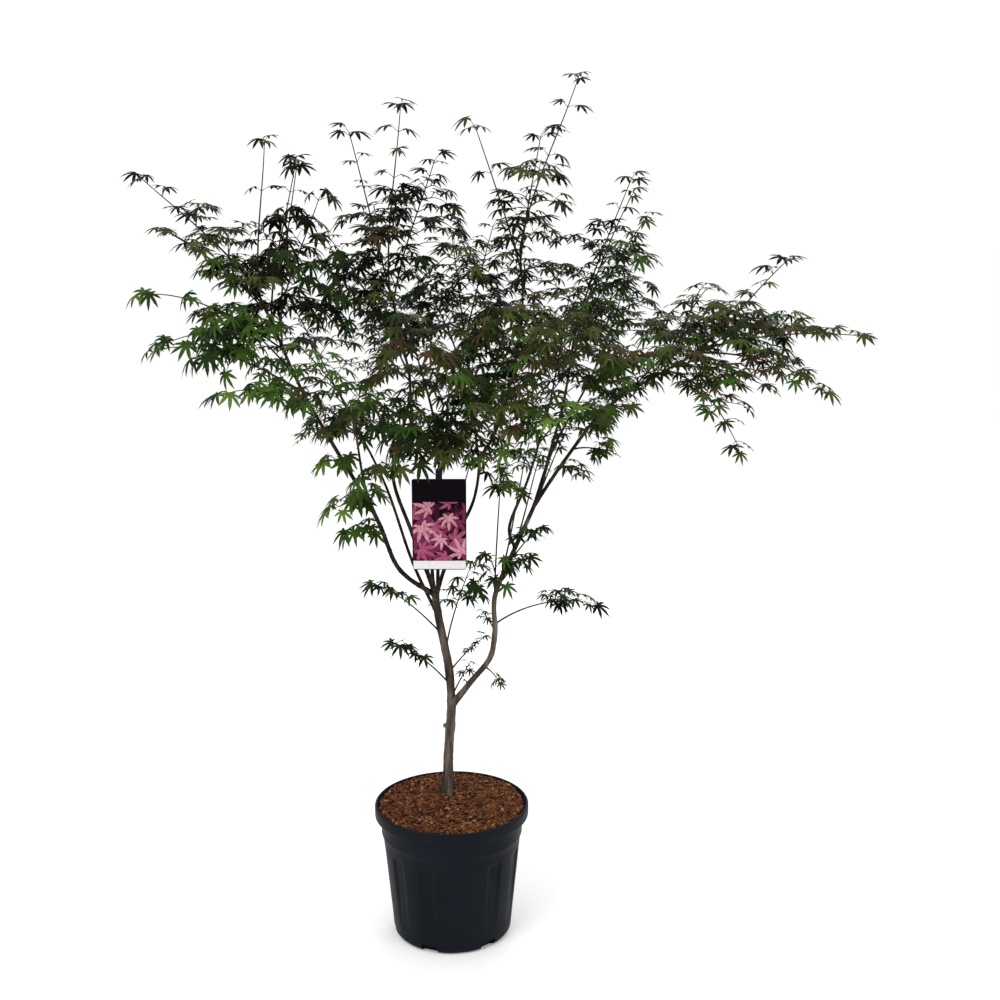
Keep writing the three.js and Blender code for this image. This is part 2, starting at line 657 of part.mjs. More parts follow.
// A stalk rises no steeper than a limit, and its blade hangs lower than the stalk points.
function makeLeaf(base, aim, size, random) {
  const length = size * LEAF.length * (1 + LEAF.sizeSpread * (2 * random() - 1));
  const turn = 2 * Math.PI * random();
  const heading = new THREE.Vector3(aim.x, aim.y, 0);
  if (heading.length() < LEAF.leastHeading) heading.set(Math.cos(turn), Math.sin(turn), 0);
  heading.normalize();
  const along = (pitch) => heading.clone()
    .multiplyScalar(Math.cos(pitch))
    .addScaledVector(UP, Math.sin(pitch));
  const rise = Math.min(Math.asin(THREE.MathUtils.clamp(aim.z, -1, 1)), LEAF.steepest);
  const [least, spread] = LEAF.hang;
  const y = along(LEAF.follow * rise - least - spread * random());
  const level = UP.clone().addScaledVector(y, -y.z).normalize();
  level.applyAxisAngle(y, LEAF.roll * (2 * random() - 1));
  const centre = base.clone().addScaledVector(along(rise), size * LEAF.stalk);
  return { base, centre, length, frame: { x: y.clone().cross(level), y, z: level } };
}

// Points spread over a leaf, and the lines along its lobes and stalk.
function leafProbe(leaf) {
  const { base, centre, length } = leaf;
  const place = onLeaf(leaf);
  const rim = leafRim(length);
  const points = rim.flatMap((p) => [place(p), place(p.clone().multiplyScalar(LEAF.midway))]);
  points.push(centre, centre.clone().lerp(base, 0.5));
  const tips = rim.filter((_, i) => i % 2).map(place);
  return { points, lines: [...tips, base].map((p) => [centre, p]) };
}

const isNear = (points, lines, limit) => points.some(
  (p) => lines.some(([a, b]) => segmentDistance(p, a, b) < limit));

function pathLines(path) {
  return path.points.slice(1).map((p, i) => [path.points[i], p]);
}

function leafFits(leaf, mass, label) {
  leaf.probe = leafProbe(leaf);
  const { points, lines } = leaf.probe;
  for (const other of mass.leaves) {
    if (isNear(points, other.probe.lines, CLEAR.leaf)) return false;
    if (isNear(other.probe.points, lines, CLEAR.leaf)) return false;
  }
  if ([mass.stem, ...mass.twigs].some((path) => isNear(points, pathLines(path), CLEAR.twig))) return false;
  return points.every((p) => isFree(p, mass, label));
}

// A direction out from a stem: turned round it, then leaning along it.
function outward(tangent, angle, lean) {
  const across = Math.abs(tangent.z) > 0.95 ? new THREE.Vector3(1, 0, 0) : UP;
  const side = tangent.clone().cross(across).normalize();
  side.applyAxisAngle(tangent, angle);
  return side.multiplyScalar(SHOOT.spread).addScaledVector(tangent, lean).normalize();
}

function tryLeaf(mass, base, tangent, angle, lean, random, label) {
  if (mass.leaves.length === SHOOT.mostLeaves) return;
  for (let attempt = 0; attempt < SHOOT.tries; attempt += 1) {
    const turn = angle + attempt * SHOOT.turnStep * (attempt % 2 ? 1 : -1);
    const size = LEAF.sizes[Math.floor((attempt * LEAF.sizes.length) / SHOOT.tries)];
    const leaf = makeLeaf(base, outward(tangent, turn, lean), size, random);
    if (leafFits(leaf, mass, label)) {
      mass.leaves.push(leaf);
      return;
    }
  }
}

function tryTwig(mass, base, tangent, angle, length, random, label) {
  for (let attempt = 0; attempt < SHOOT.tries; attempt += 1) {
    const turn = angle + attempt * SHOOT.turnStep * (attempt % 2 ? 1 : -1);
    const aim = outward(tangent, turn, SHOOT.twigLean);
    const end = base.clone().addScaledVector(aim, length);
    const count = Math.ceil(length / CLEAR.sample);
    const path = makePath([base, end]);
    const samples = Array.from({ length: count }, (_, i) => pathPoint(path, (i + 1) / count));
    const clear = samples.filter((p) => p.distanceTo(base) > CLEAR.root);
    const touches = mass.leaves.some((leaf) => isNear(clear, leaf.probe.lines, CLEAR.leaf));
    if (!touches && clear.every((p) => isFree(p, mass, label))) {
      mass.twigs.push(path);
      const phase = SHOOT.phase * (random() - 0.5);
      for (const side of [0, 1]) {
        const root = pathPoint(path, SHOOT.lastNode - (side * SHOOT.pairStep) / path.length);
        tryLeaf(mass, root, aim, phase + side * Math.PI, SHOOT.endLean, random, label);
      }
      return;
    }
  }
}

// Leaves are dealt from the tip of the stem down: a last leaf, then pairs that turn a quarter
// from node to node. The nodes near the root carry side twigs, each with its own pair.
function growOnce(mass, label, random) {
  mass.leaves = [];
  mass.twigs = [];
  const { firstNode, lastNode, fewestNodes, mostNodes } = SHOOT;
  const wanted = Math.round(mass.stem.length / SHOOT.nodePitch);
  const nodes = THREE.MathUtils.clamp(wanted, fewestNodes, mostNodes);
  const phase = SHOOT.phase * (random() - 0.5);
  const tip = pathTangent(mass.stem, 1);
  tryLeaf(mass, pathPoint(mass.stem, SHOOT.tipNode), tip, phase, SHOOT.tipLean, random, label);
  for (let i = nodes - 1; i >= 0; i -= 1) {
    const fraction = firstNode + ((lastNode - firstNode) * i) / (nodes - 1);
    const tangent = pathTangent(mass.stem, fraction);
    const ahead = (1 - fraction) * mass.stem.length;
    const length = Math.max(ahead * SHOOT.twigShare, SHOOT.twigShortest);
    for (const side of [0, 1]) {
      const base = pathPoint(mass.stem, fraction - (side * SHOOT.pairStep) / mass.stem.length);
      const angle = phase + (i % 2) * SHOOT.quarterTurn + side * Math.PI;
      if (fraction < SHOOT.twigNodes && nodes > fewestNodes) {
        tryTwig(mass, base, tangent, angle, length, random, label);
      } else {
        tryLeaf(mass, base, tangent, angle, SHOOT.leafLean, random, label);
      }
    }
  }
}

// A three-sided shoot that thins towards its tip.
function shootSolid({ points }, rootRadius) {
  const last = points.length - 1;
  const radii = points.map((_, i) => THREE.MathUtils.lerp(rootRadius, SHOOT.tipRadius, i / last));
  return toSolid(tube(points, radii, SHOOT.sides));
}

function massSolid(mass) {
  const rootRadius = Math.min(SHOOT.rootRadius, limbs.get(mass.on).radii.at(-1));
  const parts = [shootSolid(mass.stem, rootRadius)];
  for (const twig of mass.twigs) parts.push(shootSolid(twig, SHOOT.twigRadius));
  for (const leaf of mass.leaves) parts.push(toSolid(leafGeometry(leaf)));
  let solid = wasm.Manifold.union(parts);
  for (const limb of limbs.values()) solid = solid.subtract(limb.hull);
  return mainBody(solid);
}

// The least height of any face of a solid.
function thinnestFace(solid) {
  const { vertProperties, triVerts } = solid.getMesh();
  const corner = (i) => new THREE.Vector3().fromArray(vertProperties, 3 * triVerts[i]);
  let least = Infinity;
  for (let i = 0; i < triVerts.length; i += 3) {
    const triangle = new THREE.Triangle(corner(i), corner(i + 1), corner(i + 2));
    const { a, b, c } = triangle;
    const longest = Math.max(a.distanceTo(b), b.distanceTo(c), c.distanceTo(a));
    least = Math.min(least, (2 * triangle.getArea()) / longest);
  }
  return least;
}

// Of several seeds, the one that fits the most leaves into the mass's space and joins cleanly.
function growMass(mass, label) {
  const tries = Array.from({ length: SHOOT.seeds }, (_, attempt) => {
    growOnce(mass, label, seeded(SHOOT.firstSeed + mass.index * SHOOT.seeds + attempt));
    return { leaves: mass.leaves, twigs: mass.twigs };
  });
  tries.sort((a, b) => b.leaves.length - a.leaves.length);
  for (const entry of tries) {
    Object.assign(mass, entry);
    mass.solid = massSolid(mass);
    if (thinnestFace(mass.solid) > THINNEST) return;
  }
}

// ---------------------------------------------------------------- assembly

const plant = new THREE.Group();
plant.add(buildPot(), buildMulch());
buildLimbs();
for (const { name, solid, on } of limbs.values()) {
  const isOld = !on || name.startsWith('limb');
  plant.add(mesh(name, toGeometry(solid), isOld ? LOOKS.bark : LOOKS.youngBark));
}
const label = buildTag();
plant.add(label.mesh);
for (const mass of masses) mass.stem = stemPath(mass);
for (const mass of masses) {
  growMass(mass, label);
  const look = LOOKS.leaves[mass.index % LOOKS.leaves.length];
  plant.add(mesh(mass.name, toGeometry(mass.solid), look));
}

export default plant;
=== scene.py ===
"""Potted Japanese maple: bark, twigs, palmate leaves, bark mulch, nursery pot and plant label.

Metres, +Z up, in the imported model's own frame. Tables of limbs and masses are in millimetres.
"""
import random
from collections import namedtuple
from math import asin, cos, hypot, pi, radians, sin, sqrt
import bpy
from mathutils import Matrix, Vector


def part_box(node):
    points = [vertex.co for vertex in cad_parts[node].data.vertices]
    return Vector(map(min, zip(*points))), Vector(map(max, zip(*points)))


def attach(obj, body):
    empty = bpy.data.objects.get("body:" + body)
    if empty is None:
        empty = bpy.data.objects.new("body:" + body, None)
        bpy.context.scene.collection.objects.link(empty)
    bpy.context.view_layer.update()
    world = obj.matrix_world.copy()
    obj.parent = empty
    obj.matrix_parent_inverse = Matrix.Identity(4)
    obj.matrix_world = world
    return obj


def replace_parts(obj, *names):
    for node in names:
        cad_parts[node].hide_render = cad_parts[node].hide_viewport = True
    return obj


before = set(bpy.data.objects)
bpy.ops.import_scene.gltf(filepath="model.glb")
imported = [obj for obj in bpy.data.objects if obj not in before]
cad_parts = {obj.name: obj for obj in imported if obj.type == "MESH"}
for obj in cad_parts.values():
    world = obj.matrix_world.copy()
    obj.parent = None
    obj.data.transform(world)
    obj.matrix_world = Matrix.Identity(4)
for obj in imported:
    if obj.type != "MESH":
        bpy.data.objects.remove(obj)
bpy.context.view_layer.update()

from types import SimpleNamespace as Values

import bpy
import numpy as np
from mathutils import Vector, noise

MM = 0.001
UP = np.array([0.0, 0.0, 1.0])
ACROSS = np.array([1.0, 0.0, 0.0])
NEARLY_ACROSS = 0.9

# ---------------------------------------------------------------- driving dimensions

# Limbs: name, parent, fraction of the parent, points, and pairs of fraction and radius.
LIMBS = [
    ("trunk", None, 0,
     [(-11, 33, 252), (-11, 33, 260), (-9, 31, 292), (-5, 25, 380), (0, 22, 457), (-5, 17, 537),
      (-20, 12, 622), (-30, 8, 688)],
     [(0, 18), (0.035, 15), (0.07, 12), (0.13, 10.3), (0.31, 9.4), (0.47, 9.2), (0.52, 8.4),
      (0.85, 7.8), (1, 6.4)]),
    ("limb_right", "trunk", 0.462,
     [(40, -5, 515), (75, -18, 565), (85, -24, 620), (85, -28, 690), (115, -25, 765),
      (165, -10, 875)],
     [(0, 6.6), (0.2, 5.4), (0.6, 4.5), (1, 3.8)]),
    ("bough_left", "trunk", 0.985,
     [(-95, -15, 740), (-135, -35, 845), (-210, -50, 985), (-265, -55, 1090), (-315, -50, 1210),
      (-340, -45, 1265)],
     [(0, 4.6), (0.4, 3.7), (1, 2.2)]),
    ("bough_centre_left", "trunk", 1,
     [(-45, 12, 730), (-75, 30, 805), (-105, 45, 885), (-105, 55, 935), (-75, 70, 1060),
      (-90, 70, 1160), (-110, 60, 1255)],
     [(0, 4.6), (0.4, 3.2), (1, 1.9)]),
    ("bough_centre_right", "trunk", 0.97,
     [(-12, 6, 730), (20, 10, 810), (45, 18, 865), (55, 25, 925), (50, 32, 975), (40, 45, 1070)],
     [(0, 4.2), (0.4, 3.1), (1, 1.9)]),
    ("bough_front", "trunk", 0.95,
     [(-32, -30, 745), (-25, -65, 865), (-15, -84, 940), (-20, -160, 1045), (-30, -230, 1115)],
     [(0, 3.8), (0.4, 2.8), (1, 1.8)]),
    ("bough_centre_back", "trunk", 0.92,
     [(-24, 50, 750), (-20, 120, 900), (5, 180, 1030), (30, 230, 1165)],
     [(0, 3.8), (0.4, 2.9), (1, 1.8)]),
    ("bough_back_left", "trunk", 0.88,
     [(-75, 60, 735), (-135, 150, 875), (-230, 260, 1030)],
     [(0, 3.5), (1, 1.8)]),
    ("bough_front_left", "bough_left", 0.27,
     [(-145, -130, 925), (-150, -230, 1055)],
     [(0, 3), (1, 1.7)]),
    ("bough_centre_high", "bough_centre_right", 0.68,
     [(90, 10, 1005), (120, -10, 1115), (135, -20, 1225), (130, -25, 1330)],
     [(0, 2.9), (1, 1.7)]),
    ("bough_right_front", "limb_right", 0.78,
     [(112, -66, 835), (145, -120, 935), (175, -190, 1060)],
     [(0, 3.2), (1, 1.7)]),
    ("bough_right_mid", "limb_right", 1,
     [(185, 15, 945), (215, 55, 1050), (235, 85, 1175)],
     [(0, 3.6), (1, 1.8)]),
    ("bough_right_back", "limb_right", 0.95,
     [(195, 75, 950), (260, 160, 1055), (290, 215, 1105)],
     [(0, 3), (1, 1.7)]),
    ("bough_right_long", "limb_right", 0.975,
     [(215, -40, 955), (275, -60, 1040), (340, -65, 1090), (460, -45, 1155)],
     [(0, 3.6), (0.5, 2.9), (1, 2)]),
]
OLD_WOOD = ("trunk", "limb_right")

# Masses of foliage by limb: name, fraction of the limb, reach, bow, habit, tone, fill and how far
# its twigs hang.
MASSES = {
    "bough_left": [
        ("left_tip", 1, (-565, -20, 1455), 0.02, "shoot", "dark", 0.8, 0.1),
        ("left_shoot", 0.97, (-305, -90, 1518), 0, "shoot", "dark", 0.4, 0.1),
        ("left_upright", 0.9, (-265, 30, 1488), 0, "shoot", "dark", 0.6, 0.2),
        ("left_upper", 0.93, (-500, -150, 1368), 0.1, "spray", "mid", 0.3, 0.1),
        ("left_middle", 0.82, (-535, -160, 1262), 0.14, "weeping", "fresh", 0.3, 0.1),
        ("left_lower", 0.7, (-545, -70, 1160), 0.16, "weeping", "fresh", 0.5, 0.2),
        ("left_back", 0.75, (-480, 170, 1215), 0.1, "spray", "mid", 0.25, 0.1),
        ("left_hanging", 0.62, (-400, -200, 1095), 0.18, "weeping", "fresh", 0.4, -0.1),
        ("left_foot", 0.35, (-222, -110, 875), 0.12, "weeping", "fresh", 0.6, 0.4),
    ],
    "bough_centre_left": [
        ("mid_left_tip", 1, (-80, 40, 1588), 0, "shoot", "dark", 0.7, 0.1),
        ("mid_left_arch", 0.93, (-180, -20, 1538), 0.02, "shoot", "dark", 0.6, 0.2),
        ("mid_left_right", 0.95, (-15, 120, 1492), 0.02, "spray", "dark", 1, 0.3),
        ("mid_left_side", 0.72, (-250, 160, 1350), 0.08, "spray", "dark", 0.8, 0.3),
        ("mid_left_front", 0.58, (-215, -150, 1020), 0.12, "weeping", "warm", 0.7, 0.4),
    ],
    "bough_centre_high": [
        ("high_top", 1, (243, -40, 1626), 0, "shoot", "dark", 0.65, 0.1),
        ("high_middle", 0.95, (175, 60, 1535), 0.02, "spray", "dark", 0.25, 0.1),
        ("high_left", 0.9, (40, -90, 1542), 0.02, "shoot", "dark", 0.25, 0.1),
        ("high_front", 0.66, (85, -225, 1225), 0.08, "spray", "warm", 1.2, 0.7),
    ],
    "bough_centre_right": [
        ("centre_right_up", 1, (5, -50, 1365), 0, "spray", "dark", 1.1, 0.5),
    ],
    "bough_centre_back": [
        ("back_tip", 1, (90, 360, 1370), 0.04, "spray", "dark", 0.7, 0.2),
        ("back_left", 0.86, (-90, 385, 1270), 0.08, "spray", "dark", 0.9, 0.4),
    ],
    "bough_front": [
        ("front_tip", 1, (-60, -400, 1240), 0.06, "spray", "warm", 1.1, 0.7),
        ("front_low", 0.78, (74, -325, 1008), 0.08, "spray", "mid", 0.9, 0.2),
    ],
    "bough_front_left": [
        ("front_left_tip", 1, (-225, -400, 1190), 0.08, "spray", "mid", 0.45, 0.3),
    ],
    "bough_back_left": [
        ("back_left_tip", 1, (-385, 395, 1255), 0.06, "spray", "mid", 0.4, 0.2),
        ("back_left_low", 0.72, (-300, 400, 985), 0.14, "spray", "mid", 0.6, 0.2),
    ],
    "bough_right_mid": [
        ("right_mid_top", 1, (352, 110, 1458), 0.02, "spray", "dark", 0.5, 0.1),
        ("right_mid_side", 0.88, (375, 20, 1385), 0.06, "spray", "warm", 0.35, 0.2),
    ],
    "bough_right_back": [
        ("right_back_tip", 1, (385, 370, 1300), 0.06, "spray", "mid", 0.8, 0.2),
    ],
    "bough_right_front": [
        ("right_front_up", 1, (210, -350, 1275), 0.04, "spray", "warm", 1.1, 0.5),
        ("right_front_low", 0.8, (250, -375, 1095), 0.14, "spray", "fresh", 0.7, 0.25),
    ],
    "bough_right_long": [
        ("wing_tip", 1, (778, -20, 1178), 0.06, "spray", "warm", 0.5, 0),
        ("wing_up", 0.94, (642, 20, 1312), 0.02, "shoot", "warm", 1, 0.3),
        ("wing_low", 0.97, (690, -130, 1097), 0.12, "spray", "warm", 0.6, 0.2),
        ("wing_hanging", 0.82, (528, -190, 1003), 0.2, "spray", "warm", 0.5, 0),
        ("wing_front", 0.6, (405, -270, 1180), 0.1, "spray", "warm", 0.8, 0.1),
        ("wing_back", 0.9, (640, 240, 1175), 0.1, "spray", "mid", 0.6, 0.3),
        ("wing_upper_left", 0.72, (505, 140, 1255), 0.08, "spray", "warm", 0.4, 0.2),
    ],
    "limb_right": [
        ("low_right", 0.45, (292, -60, 688), 0.14, "sparse", "low", 0.9, 0),
        ("limb_side", 0.72, (185, -105, 832), 0.1, "sparse", "low", 0.9, 0),
    ],
    "trunk": [
        ("low_left", 0.8, (-160, -70, 722), 0.1, "sparse", "low", 0.7, 0),
        ("low_middle", 0.72, (50, -85, 762), 0.06, "sparse", "low", 0.7, 0),
        ("lower_left", 0.56, (-125, -50, 600), 0.1, "sparse", "low", 0.7, 0),
    ],
}

# More stems of a mass: mass, fraction of the limb, reach, bow, habit, fill and hang, and the limb
# where it isn't the mass's own.
SPRIGS = [
    ("left_foot", 0.48, (-215, -110, 960), 0.1, "weeping", 0.5, 0.2),
    ("left_foot", 0.27, (-195, -80, 825), 0.1, "weeping", 0.5, 0.1),
    ("left_foot", 0.38, (-130, -140, 900), 0.1, "weeping", 0.5, 0.2),
    ("front_left_tip", 0.5, (-75, -200, 965), 0.1, "weeping", 0.8, 0.2),
    ("centre_right_up", 0.62, (105, 0, 960), 0.1, "spray", 0.8, 0.2),
    ("right_front_low", 0.45, (90, -140, 920), 0.1, "spray", 0.8, 0.2),
    ("right_front_low", 0.62, (120, -200, 990), 0.1, "spray", 0.9, 0.3),
    ("wing_hanging", 0.2, (255, -80, 935), 0.1, "spray", 0.8, 0.2),
    ("wing_hanging", 0.3, (310, -60, 975), 0.05, "sparse", 0.5, 0),
    ("limb_side", 0.62, (160, -60, 770), 0.1, "sparse", 0.7, 0),
    ("limb_side", 0.6, (75, -80, 770), 0.1, "weeping", 0.8, 0.1),
    ("low_middle", 0.62, (90, 0, 600), 0.05, "bare", 1, 0),
    ("low_middle", 0.5, (55, 20, 545), 0.05, "bare", 1, 0),
    ("low_right", 0.25, (105, -30, 525), 0.05, "bare", 1, 0),
    ("low_middle", 0.42, (55, -20, 655), 0.05, "bare", 1, 0, "limb_right"),
    ("mid_left_front", 0.7, (-115, -50, 1110), 0.1, "spray", 1, 0.3),
    ("centre_right_up", 0.85, (100, -80, 1110), 0.1, "spray", 1, 0.3),
    ("front_tip", 0.93, (35, -300, 1160), 0.1, "spray", 1, 0.4),
    ("centre_right_up", 0.9, (-10, -20, 1095), 0.1, "spray", 1, 0.3),
    ("high_front", 0.45, (175, -120, 1170), 0.1, "spray", 1, 0.3),
    ("right_mid_side", 0.8, (275, 0, 1235), 0.05, "spray", 0.8, 0.2),
    ("wing_upper_left", 0.9, (355, 80, 1265), 0.05, "spray", 0.8, 0.2, "bough_right_mid"),
    ("left_upright", 0.86, (-220, 40, 1425), 0.02, "weeping", 0.7, 0.3),
    ("mid_left_side", 0.85, (-210, 50, 1255), 0.05, "spray", 0.8, 0.2),
    ("high_middle", 0.9, (225, 30, 1300), 0.05, "spray", 0.8, 0.2),
    ("wing_low", 0.85, (590, -140, 1100), 0.1, "spray", 0.5, 0.2),
    ("front_low", 0.66, (-35, -240, 995), 0.1, "spray", 0.8, 0.2),
    ("front_low", 0.72, (-65, -320, 995), 0.12, "weeping", 0.6, 0.3),
    ("left_upright", 0.83, (-265, 20, 1480), 0.08, "weeping", 0.3, 0.2),
    ("left_lower", 0.85, (-520, -100, 1175), 0.12, "weeping", 0.3, 0.1),
    ("left_upper", 0.95, (-515, -50, 1360), 0.06, "spray", 0.3, 0.1),
    ("right_mid_top", 0.95, (350, 50, 1430), 0.08, "spray", 0.35, 0.1),
    ("wing_up", 0.8, (475, 0, 1265), 0.1, "spray", 0.6, 0.2),
    ("centre_right_up", 0.05, (65, -60, 995), 0.1, "whip", 1, 0),
    ("right_front_low", 0.5, (100, -60, 950), 0.12, "whip", 1, 0, "limb_right"),
    ("right_front_low", 0.62, (155, -100, 1000), 0.06, "whip", 1, 0, "limb_right"),
    ("limb_side", 0.75, (180, -50, 970), 0.04, "whip", 1, 0),
    ("wing_front", 0.9, (225, -120, 1020), 0.04, "whip", 1, 0, "limb_right"),
    ("high_front", 0.6, (170, -110, 1255), 0.1, "spray", 0.9, 0.3),
    ("right_mid_side", 0.6, (225, -60, 1130), 0.1, "spray", 0.9, 0.3),
    ("wing_front", 0.45, (350, -120, 1095), 0.12, "spray", 0.9, 0.2),
    ("wing_front", 0.62, (395, -120, 1120), 0.12, "spray", 0.8, 0.2),
]

# Wood: spacing and sides of its rings, spacing and swelling of its nodes, depth of its furrows,
# and its streaks and colours.
OLD = Values(piece="bark_trunk", slot="bark", look="old_bark", pitch=0.0025, sides=32,
             node_pitch=0.062, swelling=0.05, furrow=0.11, streak=75,
             colors=((0.019, 0.0155, 0.011), (0.050, 0.040, 0.030), (0.145, 0.116, 0.09)))
YOUNG = Values(piece="bark_boughs", slot="young_bark", look="young_bark", pitch=0.0035, sides=16,
               node_pitch=0.048, swelling=0.12, furrow=0.06, streak=90,
               colors=((0.008, 0.006, 0.005), (0.019, 0.013, 0.011), (0.065, 0.048, 0.040)))
LIMB = Values(steps=16, root_swelling=0.3, root_length=0.012, node_width=0.0022, node_shift=0.013,
              seed=7.3, furrows_round=2.6, furrows_along=55, fractal=(0.9, 2.1, 3), lumps=0.07,
              lumps_along=24, lump_row=3.1, bone_step=4)
STUB = Values(at=0.355, length=0.015, radius=0.0042, aim=(-1, -0.2, 0.7), sides=16, uneven=0.07,
              profile=((0, 1.5), (0.5, 1.15), (0.8, 1.05), (0.95, 1.0), (1, 0.85), (0.93, 0.5),
                       (0.9, 0.1)))

# Stem of a mass: how it leaves its limb, and how far its last leaves reach past its end.
STEM = Values(steps=14, sides=8, root_radius=0.0019, tip_radius=0.0008, side_along=0.55,
              first_control=0.33, second_control=0.67, level_overhang=0.9, upright_overhang=0.15,
              most_overhang=0.4, streak=120,
              colors=((0.011, 0.007, 0.006), (0.026, 0.015, 0.012), (0.075, 0.045, 0.035)))

# Habits: spacing of the nodes and where along the stem they start, share of the stem ahead that a
# side twig is long, the longest twig, how far nodes turn from level, the size of the leaves and how
# far they hang.
Habit = namedtuple("Habit", "pitch first share longest turn leaf hang")
HABITS = {
    "spray": Habit(0.024, 0.12, 0.7, 0.21, 0.45, 1.0, (0.1, 0.5)),
    "weeping": Habit(0.028, 0.15, 0.6, 0.16, 0.3, 1.2, (0.45, 1.0)),
    "shoot": Habit(0.03, 0.12, 0.3, 0.085, 1.57, 1.1, (0.05, 0.5)),
    "bare": Habit(0.035, 0.55, 0.1, 0.02, 0.3, 0.6, (0.1, 0.6)),
    "whip": Habit(0.035, 0.84, 0.1, 0.02, 0.3, 0.8, (0.1, 0.6)),
    "sparse": Habit(0.03, 0.6, 0.5, 0.05, 0.3, 1.0, (0.2, 0.7)),
}

# Nodes: where the last one is and the fewest, the shortest twig and how its length varies, how far
# twigs and leaves lean along what carries them, how they turn round it, and the tries for a leaf.
NODE = Values(last=0.985, fewest=3, shortest=0.03, vary=(0.8, 1.2), least=0.4, by_fill=0.6,
              twig_lean=0.7, leaf_lean=0.5, end_lean=0.9, tip_lean=3.0, spread=0.95, jitter=0.45,
              upright=0.8, nearly_upright=0.95, tries=5, turn_step=0.55, seed=4100)
TWIG = Values(steps=5, sides=6, radius=0.0011, tip_radius=0.0006, first=0.35, pitch=0.023,
              turn=0.5, arch=0.16, flat=0.25, aimed=0.45, level=0.55, first_control=0.33,
              tested=(0.55, 1), same_tint=0.85)

# Leaf: seven lobes round the end of a stalk. A lobe is an angle from the leaf's tip and a length.
# by_share is how far a lobe's width is fixed and how far it goes by its length, and cleft_by_share
# the same for the clefts. margin has the points of each edge of a lobe: how far along, out and up.
LEAF = Values(length=0.0265, spread=0.22, stalk=0.018, stalk_spread=0.3, stalk_radius=0.0005,
              stalk_root=1.3, stalk_arch=0.08, stalk_sides=4,
              lobes=((0, 1.0), (37, 0.93), (76, 0.72), (118, 0.4)),
              cleft=0.3, end_cleft=0.35, end_angle=24, cleft_lift=0.01, half_width=0.12, fold=0.3,
              by_share=(0.45, 0.55), cleft_by_share=(0.35, 0.65), rib=(0.22, 0.52),
              margin=((0.2, 0.9, 1), (0.55, 0.78, 0.8)), curl=1.7,
              droops=(0.22, 0.34, 0.48), steepest=0.9, follow=0.35, roll=0.45,
              level_part=0.2, tested=0.8)

CLEAR = Values(space=0.06, limb=0.006, tag=0.006, leaf=0.0125)

# Tints of the leaves: base colour, roughness and the record's slot.
TINTS = {
    # The two darkest tints are the leaves' own dark greens, set darker still as painted shade that
    # the crown's few layers of leaves don't cast.
    "black_green": ((0.005, 0.008, 0.003), 0.5, "leaves_deep"),
    "deep": ((0.014, 0.028, 0.007), 0.5, "leaves_deep"),
    "green": ((0.036, 0.075, 0.012), 0.48, "leaves_green"),
    "bright": ((0.078, 0.136, 0.022), 0.48, "leaves_green"),
    "olive": ((0.044, 0.051, 0.013), 0.5, "leaves_olive"),
    "bronze": ((0.040, 0.031, 0.012), 0.5, "leaves_bronze"),
    "russet": ((0.046, 0.027, 0.012), 0.5, "leaves_bronze"),
}
TONES = {
    "dark": {"black_green": 5, "deep": 4, "olive": 1.2, "bronze": 0.8},
    "mid": {"black_green": 1.5, "deep": 3.5, "green": 2.5, "olive": 1.8, "bronze": 0.7},
    "fresh": {"deep": 2, "green": 5, "bright": 2.5, "olive": 0.5},
    "warm": {"deep": 3, "olive": 4, "bronze": 1.4, "russet": 0.3, "green": 1.8},
    "low": {"black_green": 1.5, "deep": 4, "green": 1.2},
}

# Pot. The steps are radius and height past the shoulder, past the collar at the shoulder's height,
# and past the collar at the lip.
POT = Values(height=0.265, rim_radius=0.150, rim_height=0.024, collar_radius=0.1385,
             shoulder_height=0.196, shoulder_radius=0.134, foot_radius=0.116, rounding=0.012,
             rim_width=0.005, wall=0.0065, floor=0.017, segments=216, wall_steps=40,
             shoulder_steps=((-0.0008, -0.006), (0, 0), (0.0008, 0.004)),
             collar_steps=((-0.0022, 0.0085), (-0.0011, 0.0115), (-0.0009, 0.016)),
             lip_steps=((0, -0.003), (0.0006, 0)),
             lip_round=0.003, rim_round=0.0035, inner_round=0.001, floor_rings=(0.02, 0.06),
             flat=0.004, foot_arc=(8, 90, 8), wall_from=0.02, wall_to=0.012, wall_inset=0.001,
             wall_run=0.01, lip_centre=0.0035, rim_middle=0.011, inner_rim=0.012, inner_middle=0.1,
             inner_foot=0.002, color=(0.0050, 0.0066, 0.0096))
FLUTE = Values(count=12, first=10, half_width=7.0, edge=2.2, depth=0.003, top=0.184, bottom=0.03,
               end=0.006, foot=0.01, fade=0.09, least=0.35, rest=0.65)
NOTCH = Values(count=6, first=-111, width=0.033, height=0.016, depth=0.014, chamfer=0.003,
               below=0.01, sharp=40)

# Mulch: a bed with lumps, and chips strewn over it, the last of them banked up at the wall.
MULCH = Values(edge=0.260, top=0.270, flat=0.056, rings=40, segments=120, gap=0.0005, skirt=0.03,
               skirt_gap=0.001, lump=0.0028, lumps=90, lump_layer=4.2,
               fractal=(0.8, 2.2, 4), sunk=0.002, edge_sunk=0.003, crest_sunk=0.002,
               colors=((0.018, 0.008, 0.005), (0.06, 0.025, 0.014)))
CHIP = Values(count=3000, banked=420, bank=(0.0035, 0.011), bank_lift=0.0018, inset=0.003,
              trunk_at=0.04, trunk_gap=0.013, length=(0.005, 0.013), width=(0.0022, 0.0048),
              thick=(0.0009, 0.002), near_edge=0.012, edge_length=0.6, tilt=0.32, roll=0.4,
              lift=(-0.0008, 0.0026), taper=0.55, uneven=(0.6, 1.8), sag=1.2,
              corner_shift=(-0.06, 0.06), corner_width=(0.8, 1.15), seed=77)
